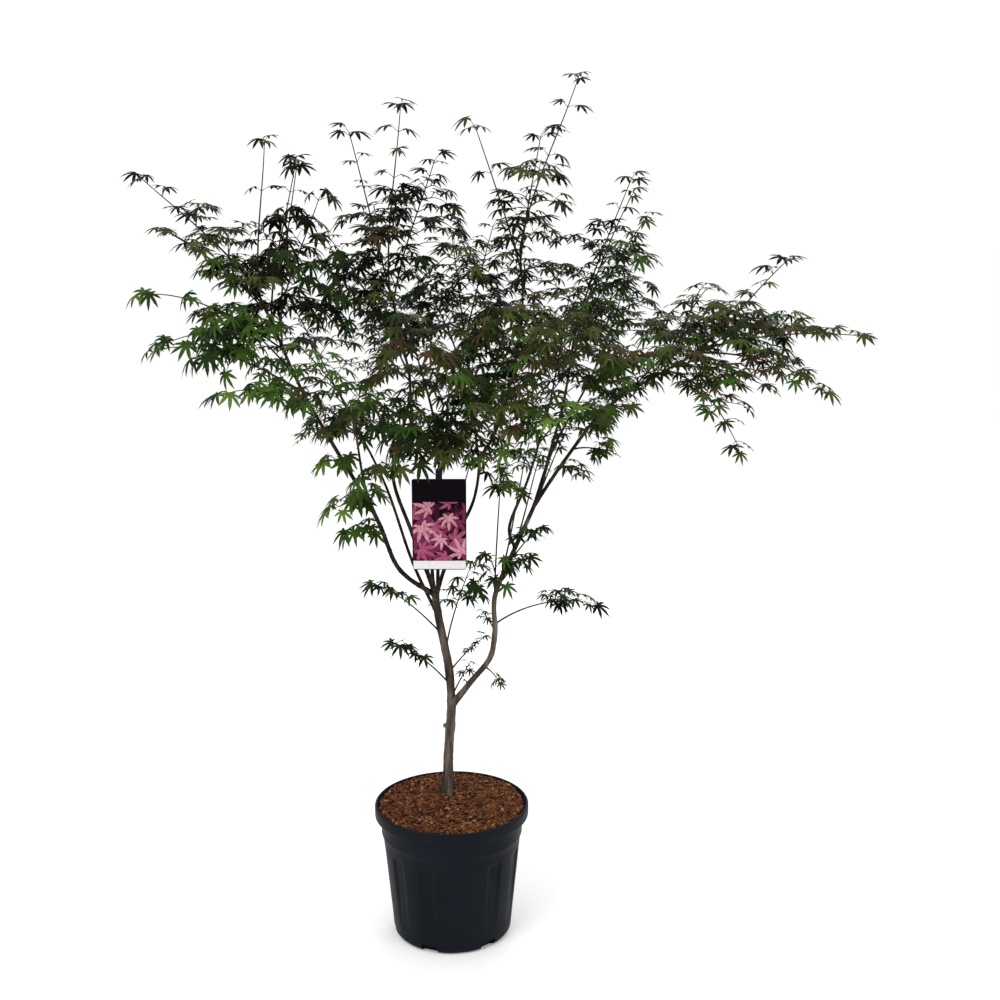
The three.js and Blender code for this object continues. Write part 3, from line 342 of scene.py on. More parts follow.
# Colours of the chips: how many, dark and pale.
CHIP_COLORS = {
    "dark": (3, (0.030, 0.011, 0.006), (0.075, 0.028, 0.013)),
    "red": (5, (0.075, 0.024, 0.010), (0.155, 0.052, 0.020)),
    "brown": (3.2, (0.105, 0.040, 0.015), (0.215, 0.088, 0.034)),
    "tan": (0.5, (0.20, 0.10, 0.045), (0.36, 0.20, 0.10)),
}

# Label: the card, its strap, the neck to its bough, the collar round that, and its print.
TAG = Values(width=0.098, height=0.168, thick=0.0012, view=0.26, at=0.56, corner=0.004,
             strap=0.006, strap_top=0.018, strap_foot=0.004, inset=0.0001, neck=0.003,
             neck_height=0.00225, collar=(0.0006, 0.0022), collar_height=0.0045, sides=24,
             color=(0.016, 0.010, 0.014))
PRINT = Values(band=0.25, strip=0.1, ink=0.00012, margin=0.0015, leaf=(0.032, 0.046), leaves=8,
               largest=1.1, shrink=0.1, step=0.62, kind_step=0.3, shift=(-0.1, 0.1),
               first_layer=2, layer=0.25, streak=0.35, seed=19,
               ground=(0.004, 0.002, 0.004), pale=(0.62, 0.60, 0.60),
               pinks={"plum": (0.035, 0.005, 0.018), "rose": (0.14, 0.018, 0.055),
                      "pink": (0.27, 0.060, 0.11), "blush": (0.46, 0.20, 0.25)})

CAMERA = Values(place=(0.0945, -2.55, 1.42), pitch=12.2, lens_px=1397, image_px=1000, sensor=36)
# Lights: name, place, target, size and power.
LIGHTS = [
    ("key", (-1.8, -2.4, 3.4), (0, 0, 0.9), 2.2, 60),
    ("fill", (2.6, -1.8, 2.0), (0, 0, 0.7), 1.6, 25),
    ("back", (0.6, 2.6, 2.8), (0, 0, 1.1), 2.0, 25),
]
STAGE = Values(reach=40, world=1.05, colors=((0.955,) * 3, (0.97,) * 3))


# ---------------------------------------------------------------- small tools

def unit(v):
    return v / np.linalg.norm(v)


def table(pairs, x):
    return np.interp(x, [p[0] for p in pairs], [p[1] for p in pairs])


def smooth(x):
    x = np.clip(x, 0, 1)
    return x * x * (3 - 2 * x)


def turned(v, axis, angle):
    """v turned about a unit axis."""
    return (v * cos(angle) + np.cross(axis, v) * sin(angle)
            + axis * np.dot(axis, v) * (1 - cos(angle)))


class Path:
    """A row of points with the distance along it at each."""

    def __init__(self, points):
        self.points = np.asarray(points, float)
        steps = np.linalg.norm(np.diff(self.points, axis=0), axis=1)
        self.distances = np.concatenate([[0], np.cumsum(steps)])
        self.length = self.distances[-1]

    def at(self, fraction):
        d = fraction * self.length
        return np.array([np.interp(d, self.distances, self.points[:, k]) for k in range(3)])

    def tangent(self, fraction, step=0.01):
        return unit(self.at(min(fraction + step, 1)) - self.at(max(fraction - step, 0)))


def linked(name, data):
    """A new object in the scene."""
    thing = bpy.data.objects.new(name, data)
    bpy.context.scene.collection.objects.link(thing)
    return thing


class Body:
    """Points and faces gathered for one piece."""

    def __init__(self):
        self.points = []
        self.faces = []
        self.count = 0

    def add(self, points, faces):
        self.points.append(np.asarray(points, float))
        self.faces.extend([[i + self.count for i in face] for face in faces])
        self.count += len(points)

    def object(self, name):
        mesh = bpy.data.meshes.new(name)
        mesh.from_pydata(np.concatenate(self.points).tolist(), [], self.faces)
        return linked(name, mesh)

    def piece(self, name, material, slot, shade=True):
        piece = self.object(name)
        piece.data.polygons.foreach_set("use_smooth", [shade] * len(self.faces))
        piece.data.update()
        piece.data.materials.append(material)
        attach(piece, "root")
        return piece


def catmull_rom(via, steps):
    """Curve through points, with as many steps from each point to the next."""
    via = np.asarray(via, float)
    padded = np.vstack([2 * via[0] - via[1], via, 2 * via[-1] - via[-2]])
    curve = []
    for a, b, c, d in zip(padded, padded[1:], padded[2:], padded[3:]):
        for t in np.arange(steps) / steps:
            curve.append(0.5 * (2 * b + (c - a) * t + (2 * a - 5 * b + 4 * c - d) * t ** 2
                                + (3 * b - a - 3 * c + d) * t ** 3))
    return Path(curve + [via[-1]])


def bezier(a, b, c, d, steps):
    t = np.linspace(0, 1, steps + 1)[:, None]
    return Path((1 - t) ** 3 * a + 3 * (1 - t) ** 2 * t * b + 3 * (1 - t) * t ** 2 * c + t ** 3 * d)


def tube(points, radii, sides):
    """Round tube with flat ends. radii is a number for each ring, or for each corner of it."""
    points = np.asarray(points)
    radii = np.asarray(radii, float)
    if radii.ndim == 1:
        radii = np.repeat(radii[:, None], sides, axis=1)
    tangents = np.gradient(points, axis=0)
    normal = ACROSS if abs(unit(tangents[0])[0]) < NEARLY_ACROSS else np.array([0, 1.0, 0])
    angles = np.arange(sides) * 2 * pi / sides
    rings = []
    for point, tangent, radius in zip(points, tangents, radii):
        along = unit(tangent)
        normal = unit(normal - along * np.dot(normal, along))
        other = np.cross(along, normal)
        spokes = np.outer(np.cos(angles), normal) + np.outer(np.sin(angles), other)
        rings.append(point + spokes * radius[:, None])
    return np.concatenate(rings), tube_faces(len(points), sides)


def tube_faces(rings, sides, closed=False):
    """Faces from ring to ring, and over both ends unless the last ring joins the first."""
    count = rings * sides
    faces = [[i * sides + j, i * sides + (j + 1) % sides,
              ((i + 1) * sides + (j + 1) % sides) % count, ((i + 1) * sides + j) % count]
             for i in range(rings if closed else rings - 1) for j in range(sides)]
    if closed:
        return faces
    return faces + [list(range(sides))[::-1], list(range(count - sides, count))]


def segments(rows):
    """Starts and ends of all the segments of some rows of points."""
    return np.concatenate([row[:-1] for row in rows]), np.concatenate([row[1:] for row in rows])


def nearest(point, starts, ends):
    """Distance from a point to each of many segments."""
    along = ends - starts
    t = np.clip(((point - starts) * along).sum(1) / (along ** 2).sum(1), 0, 1)
    return np.linalg.norm(point - starts - along * t[:, None], axis=1)


# ---------------------------------------------------------------- materials

def finish(name, roughness, specular, grain, stops, relief=None, gloss=None):
    """A material from the object's own coordinates. The grain picks its colour from the stops.
    Relief is a noise, its strength and its distance, and gloss a noise and the two ends of the
    roughness. A noise is a scale, a detail and perhaps a stretch."""
    material = bpy.data.materials.new(name)
    material.use_nodes = True
    tree = material.node_tree
    shader = tree.nodes["Principled BSDF"]
    shader.inputs["Roughness"].default_value = roughness
    shader.inputs["Specular IOR Level"].default_value = specular

    def node(kind, **inputs):
        """An input is a value for its socket, or another node's socket to join to it."""
        made = tree.nodes.new("ShaderNode" + kind)
        for socket, value in inputs.items():
            socket = made.inputs[socket.replace("_", " ")]
            if isinstance(value, bpy.types.NodeSocket):
                tree.links.new(value, socket)
            else:
                socket.default_value = value
        return made

    def spots(scale, detail, stretch=(1, 1, 1)):
        mapping = node("Mapping", Vector=place, Scale=stretch)
        texture = node("TexNoise", Vector=mapping.outputs[0], Scale=scale, Detail=detail)
        return texture.outputs["Fac"]

    def feed(socket, output):
        tree.links.new(output, shader.inputs[socket])

    place = node("TexCoord").outputs["Object"]
    ramp = node("ValToRGB", Fac=spots(*grain))
    elements, stops = ramp.color_ramp.elements, list(stops)
    while len(elements) < len(stops):
        elements.new(0.5)
    for element, (position, color) in zip(elements, stops):
        element.position = position
        element.color = (*color, 1)
    feed("Base Color", ramp.outputs["Color"])
    if relief:
        noise_settings, strength, distance = relief
        bump = node("Bump", Height=spots(*noise_settings), Strength=strength, Distance=distance)
        feed("Normal", bump.outputs[0])
    if gloss:
        noise_settings, low, high = gloss
        feed("Roughness", node("MapRange", Value=spots(*noise_settings), To_Min=low,
                               To_Max=high).outputs[0])
    return material


def shades(color, dark, pale):
    """A colour made darker and paler."""
    return [tuple(min(1, c * factor) for c in color) for factor in (dark, pale)]


def leaf_look(name, color, roughness):
    return finish("leaf_" + name, roughness, specular=0.025, grain=(26, 2),
                  stops=zip((0.3, 0.7), shades(color, 0.72, 1.3)), relief=((420, 2), 0.25, 0.0006))


def bark_look(name, streak, colors):
    """Bark with streaks along its limb, which stands more upright than level."""
    return finish(name, roughness=0.85, specular=0.1, grain=(streak, 6, (1, 1, 0.16)),
                  stops=zip((0.34, 0.5, 0.68), colors),
                  relief=((streak * 3.2, 5, (1, 1, 0.3)), 0.6, 0.0015))


def pot_look():
    return finish("moulded_plastic", roughness=0.42, specular=0.045, grain=(9, 5),
                  stops=zip((0.3, 0.75), shades(POT.color, 0.8, 1.35)),
                  relief=((160, 4), 0.18, 0.0008), gloss=((14, 6), 0.34, 0.56))


def chip_look(name, dark, pale):
    return finish(name, roughness=0.78, specular=0.07, grain=(150, 4, (1, 0.4, 1)),
                  stops=zip((0.32, 0.7), (dark, pale)), relief=((600, 3), 0.5, 0.001))


def card_look(name, color, streak=0.06):
    return finish(name, roughness=0.3, specular=0.025, grain=(260, 4),
                  stops=zip((0.3, 0.7), shades(color, 1 - streak, 1 + streak)))


def floor_look():
    return finish("pale_floor", roughness=0.9, specular=0.5, grain=(0.6, 2),
                  stops=zip((0.3, 0.7), STAGE.colors))


# ---------------------------------------------------------------- limbs

limbs = {}


def grow_limb(name, on, at, via, radii):
    points = [np.array(p) * MM for p in via]
    if on:
        points.insert(0, limbs[on].path.at(at))
    pairs = [(fraction, radius * MM) for fraction, radius in radii]
    limbs[name] = Values(path=catmull_rom(points, LIMB.steps), radii=pairs, on=on)


def limb_rings(name, wood):
    """Rings of a limb with furrows along it, a swelling at each node and a collar at its root."""
    limb = limbs[name]
    fractions = np.linspace(0, 1, int(limb.path.length / wood.pitch) + 1)
    points = np.array([limb.path.at(f) for f in fractions])
    base = table(limb.radii, fractions)
    distance = fractions * limb.path.length
    if limb.on:
        base = base * (1 + LIMB.root_swelling * np.exp(-distance / LIMB.root_length))
    phase = (distance + LIMB.node_shift * len(name)) % wood.node_pitch - wood.node_pitch / 2
    base = base * (1 + wood.swelling * np.exp(-(phase / LIMB.node_width) ** 2))
    seed = LIMB.seed * len(name)
    angles = np.arange(wood.sides) * 2 * pi / wood.sides
    furrows = np.array([[noise.fractal(Vector((cos(a) * LIMB.furrows_round,
                                               sin(a) * LIMB.furrows_round,
                                               seed + d * LIMB.furrows_along)), *LIMB.fractal)
                         for a in angles] for d in distance])
    lumps = np.array([noise.noise(Vector((seed, LIMB.lump_row, d * LIMB.lumps_along)))
                      for d in distance])
    radii = base[:, None] * (1 + wood.furrow * furrows + LIMB.lumps * lumps[:, None])
    return points, radii, wood.sides


def build_bark():
    for wood in (OLD, YOUNG):
        body = Body()
        nodes = [row[0] for row in LIMBS if (row[0] in OLD_WOOD) == (wood is OLD)]
        for node in nodes:
            body.add(*tube(*limb_rings(node, wood)))
        if wood is OLD:
            body.add(*stub())
        look = bark_look(wood.look, wood.streak, wood.colors)
        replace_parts(body.piece(wood.piece, look, wood.slot), *nodes)


def stub():
    """Pruned stub: a short peg whose cut face is a little hollow."""
    root = limbs["trunk"].path.at(STUB.at)
    aim = unit(np.array(STUB.aim))
    normal = unit(np.cross(aim, UP))
    other = np.cross(aim, normal)
    rings = []
    for along, share in STUB.profile:
        for k in range(STUB.sides):
            a = 2 * pi * k / STUB.sides
            radius = STUB.radius * share * (1 + STUB.uneven * sin(3 * a + 1))
            spoke = radius * (cos(a) * normal + sin(a) * other)
            rings.append(root + aim * STUB.length * along + spoke)
    return rings, tube_faces(len(STUB.profile), STUB.sides)


# ---------------------------------------------------------------- leaves

def leaf_shape(droop):
    """Points and triangles of a leaf one unit long, with +Y to its tip and +Z up from it."""
    lobes = sorted({(side * angle, share) for angle, share in LEAF.lobes for side in (1, -1)})
    points = [(0.0, 0.0, 0.0)]
    faces = []

    def add(angle, reach, across=0, lift=0):
        """A point a distance out along a lobe and a distance to its side."""
        a = radians(angle)
        x = reach * sin(a) + across * cos(a)
        y = reach * cos(a) - across * sin(a)
        points.append((x, y, lift - droop * hypot(x, y) ** LEAF.curl))
        return len(points) - 1

    (least, more), (cleft_least, cleft_more) = LEAF.by_share, LEAF.cleft_by_share
    cleft = add(lobes[0][0] - LEAF.end_angle, LEAF.cleft * LEAF.end_cleft, 0, LEAF.cleft_lift)
    for i, (angle, share) in enumerate(lobes):
        width = LEAF.half_width * (least + more * share)
        edge = LEAF.fold * width
        root = LEAF.cleft * (more + least * share)
        rib_low, rib_mid = (add(angle, root + (share - root) * part) for part in LEAF.rib)
        tip = add(angle, share)
        left_low, left_mid, right_low, right_mid = (
            add(angle, root + (share - root) * part, side * width * out, edge * lift)
            for side in (-1, 1) for part, out, lift in LEAF.margin)
        if i + 1 < len(lobes):
            following = lobes[i + 1]
            gap = (angle + following[0]) / 2
            size = LEAF.cleft * (cleft_least + cleft_more * (share + following[1]) / 2)
        else:
            gap, size = angle + LEAF.end_angle, LEAF.cleft * LEAF.end_cleft
        next_cleft = add(gap, size, 0, LEAF.cleft_lift)
        faces += [(0, rib_low, cleft), (cleft, rib_low, left_low), (left_low, rib_low, rib_mid),
                  (left_low, rib_mid, left_mid), (left_mid, rib_mid, tip),
                  (0, next_cleft, rib_low), (next_cleft, right_low, rib_low),
                  (right_low, rib_mid, rib_low), (right_low, right_mid, rib_mid),
                  (right_mid, tip, rib_mid)]
        cleft = next_cleft
    return np.array(points), faces


class Crown:
    """All stems, twigs and leaves, grown mass by mass."""

    def __init__(self):
        self.wood = Body()
        self.leaves = {tint: [] for tint in TINTS}
        self.centres = np.zeros((0, 3))
        self.owners = {tint: set() for tint in TINTS}
        self.masses = []
        homes = {}
        for on, masses in MASSES.items():
            for name, at, reach, bow, habit, tone, fill, hang in masses:
                homes[name] = on, tone
                self.sprout(name, on, at, reach, bow, habit, tone, fill, hang)
        for name, at, reach, bow, habit, fill, hang, *other in SPRIGS:
            home, tone = homes[name]
            self.sprout(name, *(other or [home]), at, reach, bow, habit, tone, fill, hang)
        paths = [mass.stem.points for mass in self.masses]
        owners = np.repeat([mass.name for mass in self.masses], [len(path) - 1 for path in paths])
        self.segments = *segments(paths), owners
        bones = [limb.path.points[::LIMB.bone_step] for limb in limbs.values()]
        radii = [table(limb.radii, np.linspace(0, 1, len(bone) - 1))
                 for limb, bone in zip(limbs.values(), bones)]
        self.bones = *segments(bones), np.concatenate(radii)
        self.tag = [np.array(corner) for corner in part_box("label")]

    def sprout(self, name, on, at, reach, bow, habit, tone, fill, hang):
        """The stem leaves its limb along the limb's own line and rises over its bow."""
        path = limbs[on].path
        start = path.at(at)
        along = path.tangent(at)
        reach = np.array(reach) * MM
        distance = np.linalg.norm(reach - start)
        aim = (reach - start) / distance
        overhang = min(LEAF.length + LEAF.stalk, STEM.most_overhang * distance)
        share = np.array([STEM.level_overhang] * 2 + [STEM.upright_overhang])
        end = reach - aim * share * overhang
        span = np.linalg.norm(end - start)
        leave = unit(along * (1 if at == 1 else STEM.side_along) + aim)
        first = start + leave * span * STEM.first_control
        second = start + (end - start) * STEM.second_control + UP * bow * span
        self.masses.append(Values(
            name=name, on=on, stem=bezier(start, first, second, end, STEM.steps), fill=fill,
            hang=hang, habit=HABITS[habit], tone=TONES[tone],
            rng=random.Random(NODE.seed + len(self.masses))))

    def free(self, point, name):
        """True where a point is in the mass's own space and clear of limbs and the label."""
        starts, ends, owners = self.segments
        gaps = nearest(point, starts, ends)
        own = owners == name
        if gaps[own].min() > gaps[~own].min() + CLEAR.space:
            return False
        starts, ends, radii = self.bones
        if (nearest(point, starts, ends) < radii + CLEAR.limb).any():
            return False
        low, high = self.tag
        beside = low[0] - CLEAR.tag < point[0] < high[0] + CLEAR.tag
        level = low[2] - CLEAR.tag < point[2] < low[2] + TAG.height + CLEAR.tag
        before = low[1] - TAG.view < point[1] < low[1] + 3 * CLEAR.tag
        return not (beside and level and before)

    def leaf(self, mass, base, aim, tint):
        """A stalk rises only so steeply, and its blade hangs lower than the stalk points."""
        habit, rng = mass.habit, mass.rng
        length = LEAF.length * habit.leaf * (1 + LEAF.spread * rng.uniform(-1, 1))
        stalk = LEAF.stalk * habit.leaf * (1 + LEAF.stalk_spread * rng.uniform(-1, 1))
        turn = rng.uniform(0, 2 * pi)
        heading = np.array([aim[0], aim[1], 0])
        if np.linalg.norm(heading) < LEAF.level_part:
            heading = np.array([cos(turn), sin(turn), 0])
        heading = unit(heading)
        rise = min(asin(np.clip(aim[2], -1, 1)), LEAF.steepest)
        pitch = LEAF.follow * rise - rng.uniform(*habit.hang)
        y = heading * cos(pitch) + UP * sin(pitch)
        z = turned(unit(UP - y * y[2]), y, LEAF.roll * rng.uniform(-1, 1))
        centre = base + (heading * cos(rise) + UP * sin(rise)) * stalk
        tip = centre + y * length * LEAF.tested
        if not (self.free(centre, mass.name) and self.free(tip, mass.name)):
            return False
        if len(self.centres) and np.linalg.norm(self.centres - centre, axis=1).min() < CLEAR.leaf:
            return False
        self.centres = np.vstack([self.centres, centre])
        shape = rng.randrange(len(LEAF.droops))
        self.leaves[tint].append((centre, np.array([np.cross(y, z), y, z]), length, shape))
        self.owners[tint].add(mass.name)
        bend = (base + centre) / 2 + UP * stalk * LEAF.stalk_arch
        radius = LEAF.stalk_radius
        self.wood.add(*tube([base, bend, centre], [radius * LEAF.stalk_root, radius, radius],
                            LEAF.stalk_sides))
        return True

    def try_leaf(self, mass, base, tangent, angle, lean, tint):
        for attempt in range(NODE.tries):
            turn = angle + attempt * NODE.turn_step * (1 if attempt % 2 else -1)
            if self.leaf(mass, base, outward(tangent, turn, lean), tint):
                return

    def twig(self, mass, base, aim, length):
        """A side twig that arches over, with pairs of leaves along it and at its end."""
        level = unit(np.array([aim[0], aim[1], aim[2] * TWIG.flat]))
        end = base + (aim * TWIG.aimed + level * TWIG.level) * length - UP * mass.hang * length
        middle = base + aim * length * 0.5 + UP * TWIG.arch * length * 0.5
        path = bezier(base, base + aim * length * TWIG.first_control, middle, end, TWIG.steps)
        if not all(self.free(path.at(f), mass.name) for f in TWIG.tested):
            return False
        tint = pick(mass)
        radii = np.linspace(TWIG.radius, TWIG.tip_radius, TWIG.steps + 1)
        self.wood.add(*tube(path.points, radii, TWIG.sides))
        count = max(1, round((1 - TWIG.first) * length / TWIG.pitch))
        phase = mass.rng.uniform(-1, 1) * NODE.jitter
        for i in range(count + 1):
            fraction = 1 - (1 - TWIG.first) * i / count
            tangent = path.tangent(fraction)
            lean = NODE.end_lean if i == 0 else NODE.leaf_lean
            for side in (-1, 1):
                turn = node_angle(side, i, TWIG.turn, phase, tangent, mass.rng)
                own = tint if mass.rng.random() < TWIG.same_tint else pick(mass)
                self.try_leaf(mass, path.at(fraction), tangent, turn, lean, own)
        self.try_leaf(mass, path.at(1), path.tangent(1), phase, NODE.tip_lean, tint)
        return True

    def grow(self, mass):
        stem, habit, rng = mass.stem, mass.habit, mass.rng
        root = min(STEM.root_radius, limbs[mass.on].radii[-1][1])
        radii = np.linspace(root, STEM.tip_radius, STEM.steps + 1)
        self.wood.add(*tube(stem.points, radii, STEM.sides))
        leafy = NODE.last - habit.first
        count = max(NODE.fewest, round(leafy * stem.length / habit.pitch * mass.fill))
        phase = rng.uniform(-1, 1) * NODE.jitter
        self.try_leaf(mass, stem.at(1), stem.tangent(1), phase, NODE.tip_lean, pick(mass))
        for i in range(count + 1):
            fraction = NODE.last - leafy * i / count
            tangent = stem.tangent(fraction)
            longest = (1 - fraction) * stem.length * habit.share * rng.uniform(*NODE.vary)
            length = min(longest, habit.longest) * min(1, NODE.least + NODE.by_fill * mass.fill)
            for side in (-1, 1):
                turn = node_angle(side, i, habit.turn, phase, tangent, rng)
                base = stem.at(fraction)
                aim = outward(tangent, turn, NODE.twig_lean)
                if length > NODE.shortest and self.twig(mass, base, aim, length):
                    continue
                self.try_leaf(mass, base, tangent, turn, NODE.leaf_lean, pick(mass))


def node_angle(side, node, turn, phase, tangent, rng):
    """Which way round its stem a shoot leaves a node. On a level stem both of a pair turn up, and
    on an upright one the pairs turn round it from node to node."""
    lift = (node % 2) * turn + rng.uniform(0, 1) * NODE.jitter
    around = phase + lift if abs(tangent[2]) > NODE.upright else lift * side
    return (0 if side < 0 else pi) + around


def outward(tangent, angle, lean):
    """A direction out from a stem: turned round it, then leaning along it."""
    across = UP if abs(tangent[2]) < NODE.nearly_upright else ACROSS
    side = turned(unit(np.cross(tangent, across)), tangent, angle)
    return unit(side * NODE.spread + tangent * lean)


def pick(mass):
    """A tint for a spray or a leaf of a mass."""
    return mass.rng.choices(list(mass.tone), list(mass.tone.values()))[0]


def build_crown():
    crown = Crown()
    for mass in crown.masses:
        crown.grow(mass)
    shapes = [leaf_shape(droop) for droop in LEAF.droops]
    for tint, leaves in crown.leaves.items():
        if not leaves:
            continue
        color, roughness, slot = TINTS[tint]
        body = Body()
        for centre, axes, length, shape in leaves:
            points, faces = shapes[shape]
            body.add(centre + (points * length) @ axes, faces)
        piece = body.piece("foliage_" + tint, leaf_look(tint, color, roughness), slot)
        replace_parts(piece, *sorted("leaves_" + name for name in crown.owners[tint]))
    twigs = crown.wood.piece("twigs", bark_look("twig_bark", STEM.streak, STEM.colors), "twigs")
    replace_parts(twigs, *["leaves_" + row[0] for masses in MASSES.values() for row in masses])


# ---------------------------------------------------------------- pot and mulch

def wall_radius(z):
    """The pot's inner radius at a height."""
    lip = POT.height - POT.rim_height
    return table([(POT.floor, POT.foot_radius - POT.wall),
                  (POT.shoulder_height, POT.shoulder_radius - POT.wall),
                  (lip, POT.collar_radius - POT.wall / 2),
                  (POT.height, POT.rim_radius - POT.rim_width)], z)


def arc(centre_r, centre_z, radius, first, last, steps):
    angles = np.radians(np.linspace(first, last, steps + 1))
    return [(centre_r + radius * cos(a), centre_z + radius * sin(a)) for a in angles]


def pot_profile():
    """Radius and height along the pot's outside and over its rim, and down its inside."""
    foot, shoulder, collar = POT.foot_radius, POT.shoulder_radius, POT.collar_radius
    z_shoulder, z_lip = POT.shoulder_height, POT.height - POT.rim_height
    r, rim = POT.rounding, POT.rim_radius
    outside = [(ring, 0.0) for ring in (*POT.floor_rings, foot - r - POT.flat)]
    outside += [(foot - r * (1 - sin(a)), r * (1 - cos(a)))
                for a in np.radians(np.linspace(*POT.foot_arc))]
    widening = shoulder - POT.wall_inset - foot
    outside += [(foot + widening * (z - r) / (z_shoulder - POT.wall_run - r), z)
                for z in np.linspace(POT.wall_from, z_shoulder - POT.wall_to, POT.wall_steps)]
    for radius, height, steps in ((shoulder, z_shoulder, POT.shoulder_steps),
                                  (collar, z_shoulder, POT.collar_steps),
                                  (collar, z_lip, POT.lip_steps)):
        outside += [(radius + out, height + up) for out, up in steps]
    outside += arc(rim - POT.lip_round, z_lip + POT.lip_centre, POT.lip_round, -90, 0, 4)
    outside += [(rim, z_lip + POT.rim_middle)]
    outside += arc(rim - POT.rim_round, POT.height - POT.rim_round, POT.rim_round, 0, 90, 5)
    outside += arc(rim - POT.rim_width + POT.inner_round, POT.height - POT.inner_round,
                   POT.inner_round, 90, 180, 2)
    inside = [(wall_radius(z), z) for z in (z_lip + POT.inner_rim, z_lip, z_shoulder,
                                            POT.inner_middle, POT.floor + POT.inner_foot)]
    return outside, inside + [(ring, POT.floor) for ring in POT.floor_rings[::-1]]


def flute_depth(angle, z, r):
    """How far the outside is pressed in by its upright flutes."""
    if not FLUTE.bottom < z < FLUTE.top or r < POT.foot_radius:
        return 0
    pitch = 360 / FLUTE.count
    off = abs((angle - FLUTE.first + pitch / 2) % pitch - pitch / 2)
    across = smooth((FLUTE.half_width - off) / FLUTE.edge)
    top = smooth((FLUTE.top - z) / FLUTE.end)
    fade = FLUTE.least + FLUTE.rest * smooth((z - FLUTE.bottom) / FLUTE.fade)
    return FLUTE.depth * across * top * fade * smooth((z - FLUTE.bottom) / FLUTE.foot)


def build_pot():
    outside, inside = pot_profile()
    rows = outside + inside
    points = []
    for k, (r, z) in enumerate(rows):
        for i in range(POT.segments):
            angle = 360 * i / POT.segments
            radius = r - (flute_depth(angle, z, r) if k < len(outside) else 0)
            a = radians(angle)
            points.append((radius * cos(a), radius * sin(a), z))
    body = Body()
    body.add(points, tube_faces(len(rows), POT.segments))
    pot = body.piece("nursery_pot", pot_look(), "pot")
    cut_notches(pot)
    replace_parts(pot, "pot")


def cut_notches(pot):
    """Drain notches at the foot, cut through the rounding."""
    cutter = Body()
    half, top, low, chamfer = NOTCH.width / 2, NOTCH.height, -NOTCH.below, NOTCH.chamfer
    section = [(-half, low), (half, low), (half, top - chamfer), (half - chamfer, top),
               (-half + chamfer, top), (-half, top - chamfer)]
    for k in range(NOTCH.count):
        a = radians(NOTCH.first + 360 / NOTCH.count * k)
        out = np.array([cos(a), sin(a), 0])
        side = np.array([-sin(a), cos(a), 0])
        points = [out * r + side * s + UP * z for r in (POT.foot_radius - NOTCH.depth,
                                                        POT.foot_radius + NOTCH.depth)
                  for s, z in section]
        cutter.add(points, tube_faces(2, len(section)))
    tool = cutter.object("notch_cutter")
    modifier = pot.modifiers.new("notches", "BOOLEAN")
    modifier.object = tool
    modifier.solver = "EXACT"
    graph = bpy.context.evaluated_depsgraph_get()
    cut = bpy.data.meshes.new_from_object(pot.evaluated_get(graph))
    pot.modifiers.clear()
    material = pot.data.materials[0]
    pot.data = cut
    cut.materials.clear()
    cut.materials.append(material)
    cut.polygons.foreach_set("material_index", [0] * len(cut.polygons))
    cut.set_sharp_from_angle(angle=radians(NOTCH.sharp))
    bpy.data.objects.remove(tool)


def mulch_height(r):
    edge = wall_radius(MULCH.edge)
    share = np.clip((edge - r) / (edge - MULCH.flat), 0, 1)
    return MULCH.edge + (MULCH.top - MULCH.crest_sunk - MULCH.edge) * sin(share * pi / 2)


def build_mulch():
    """The bed, with a skirt that goes down the wall, and the chips on it."""
    edge = wall_radius(MULCH.edge) - MULCH.gap
    rings, n = MULCH.rings, MULCH.segments
    points = [(0, 0, mulch_height(0))]
    for k in range(1, rings + 1):
        r = edge * k / rings
        for i in range(n):
            a = 2 * pi * i / n
            x, y = r * cos(a), r * sin(a)
            place = Vector((x * MULCH.lumps, y * MULCH.lumps, MULCH.lump_layer))
            lump = MULCH.lump * noise.fractal(place, *MULCH.fractal)
            rise = lump - MULCH.sunk if k < rings else -MULCH.edge_sunk
            points.append((x, y, mulch_height(r) + rise))
    below = MULCH.edge - MULCH.skirt
    draw_in = (wall_radius(below) - MULCH.skirt_gap) / edge
    points += [(x * draw_in, y * draw_in, below) for x, y, _ in points[-n:]]
    faces = [[0, 1 + i, 1 + (i + 1) % n] for i in range(n)]
    for k in range(rings):
        a, b = 1 + k * n, 1 + (k + 1) * n
        faces += [[a + i, b + i, b + (i + 1) % n, a + (i + 1) % n] for i in range(n)]
    faces.append([b + i for i in range(n)][::-1])
    body = Body()
    body.add(points, faces)
    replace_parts(body.piece("mulch_bed", chip_look("mulch_bed", *MULCH.colors), "mulch"), "mulch")
    strew_chips(edge)


def strew_chips(edge):
    chips = {kind: Body() for kind in CHIP_COLORS}
    shares = [row[0] for row in CHIP_COLORS.values()]
    rng = random.Random(CHIP.seed)
    trunk = limbs["trunk"].path.at(CHIP.trunk_at)
    for k in range(CHIP.count + CHIP.banked):
        kind = rng.choices(list(chips), shares)[0]
        banked = k >= CHIP.count
        if banked:
            radius = edge - rng.uniform(*CHIP.bank)
        else:
            radius = (edge - CHIP.inset) * sqrt(rng.random())
        angle = rng.uniform(0, 2 * pi)
        x, y = radius * cos(angle), radius * sin(angle)
        if hypot(x - trunk[0], y - trunk[1]) < CHIP.trunk_gap:
            continue
        add_chip(chips[kind], (x, y, mulch_height(radius) + CHIP.bank_lift * banked), rng, edge)
    for kind, (_, dark, pale) in CHIP_COLORS.items():
        look = chip_look("chip_" + kind, dark, pale)
        chips[kind].piece("mulch_chips_" + kind, look, "mulch", shade=False)


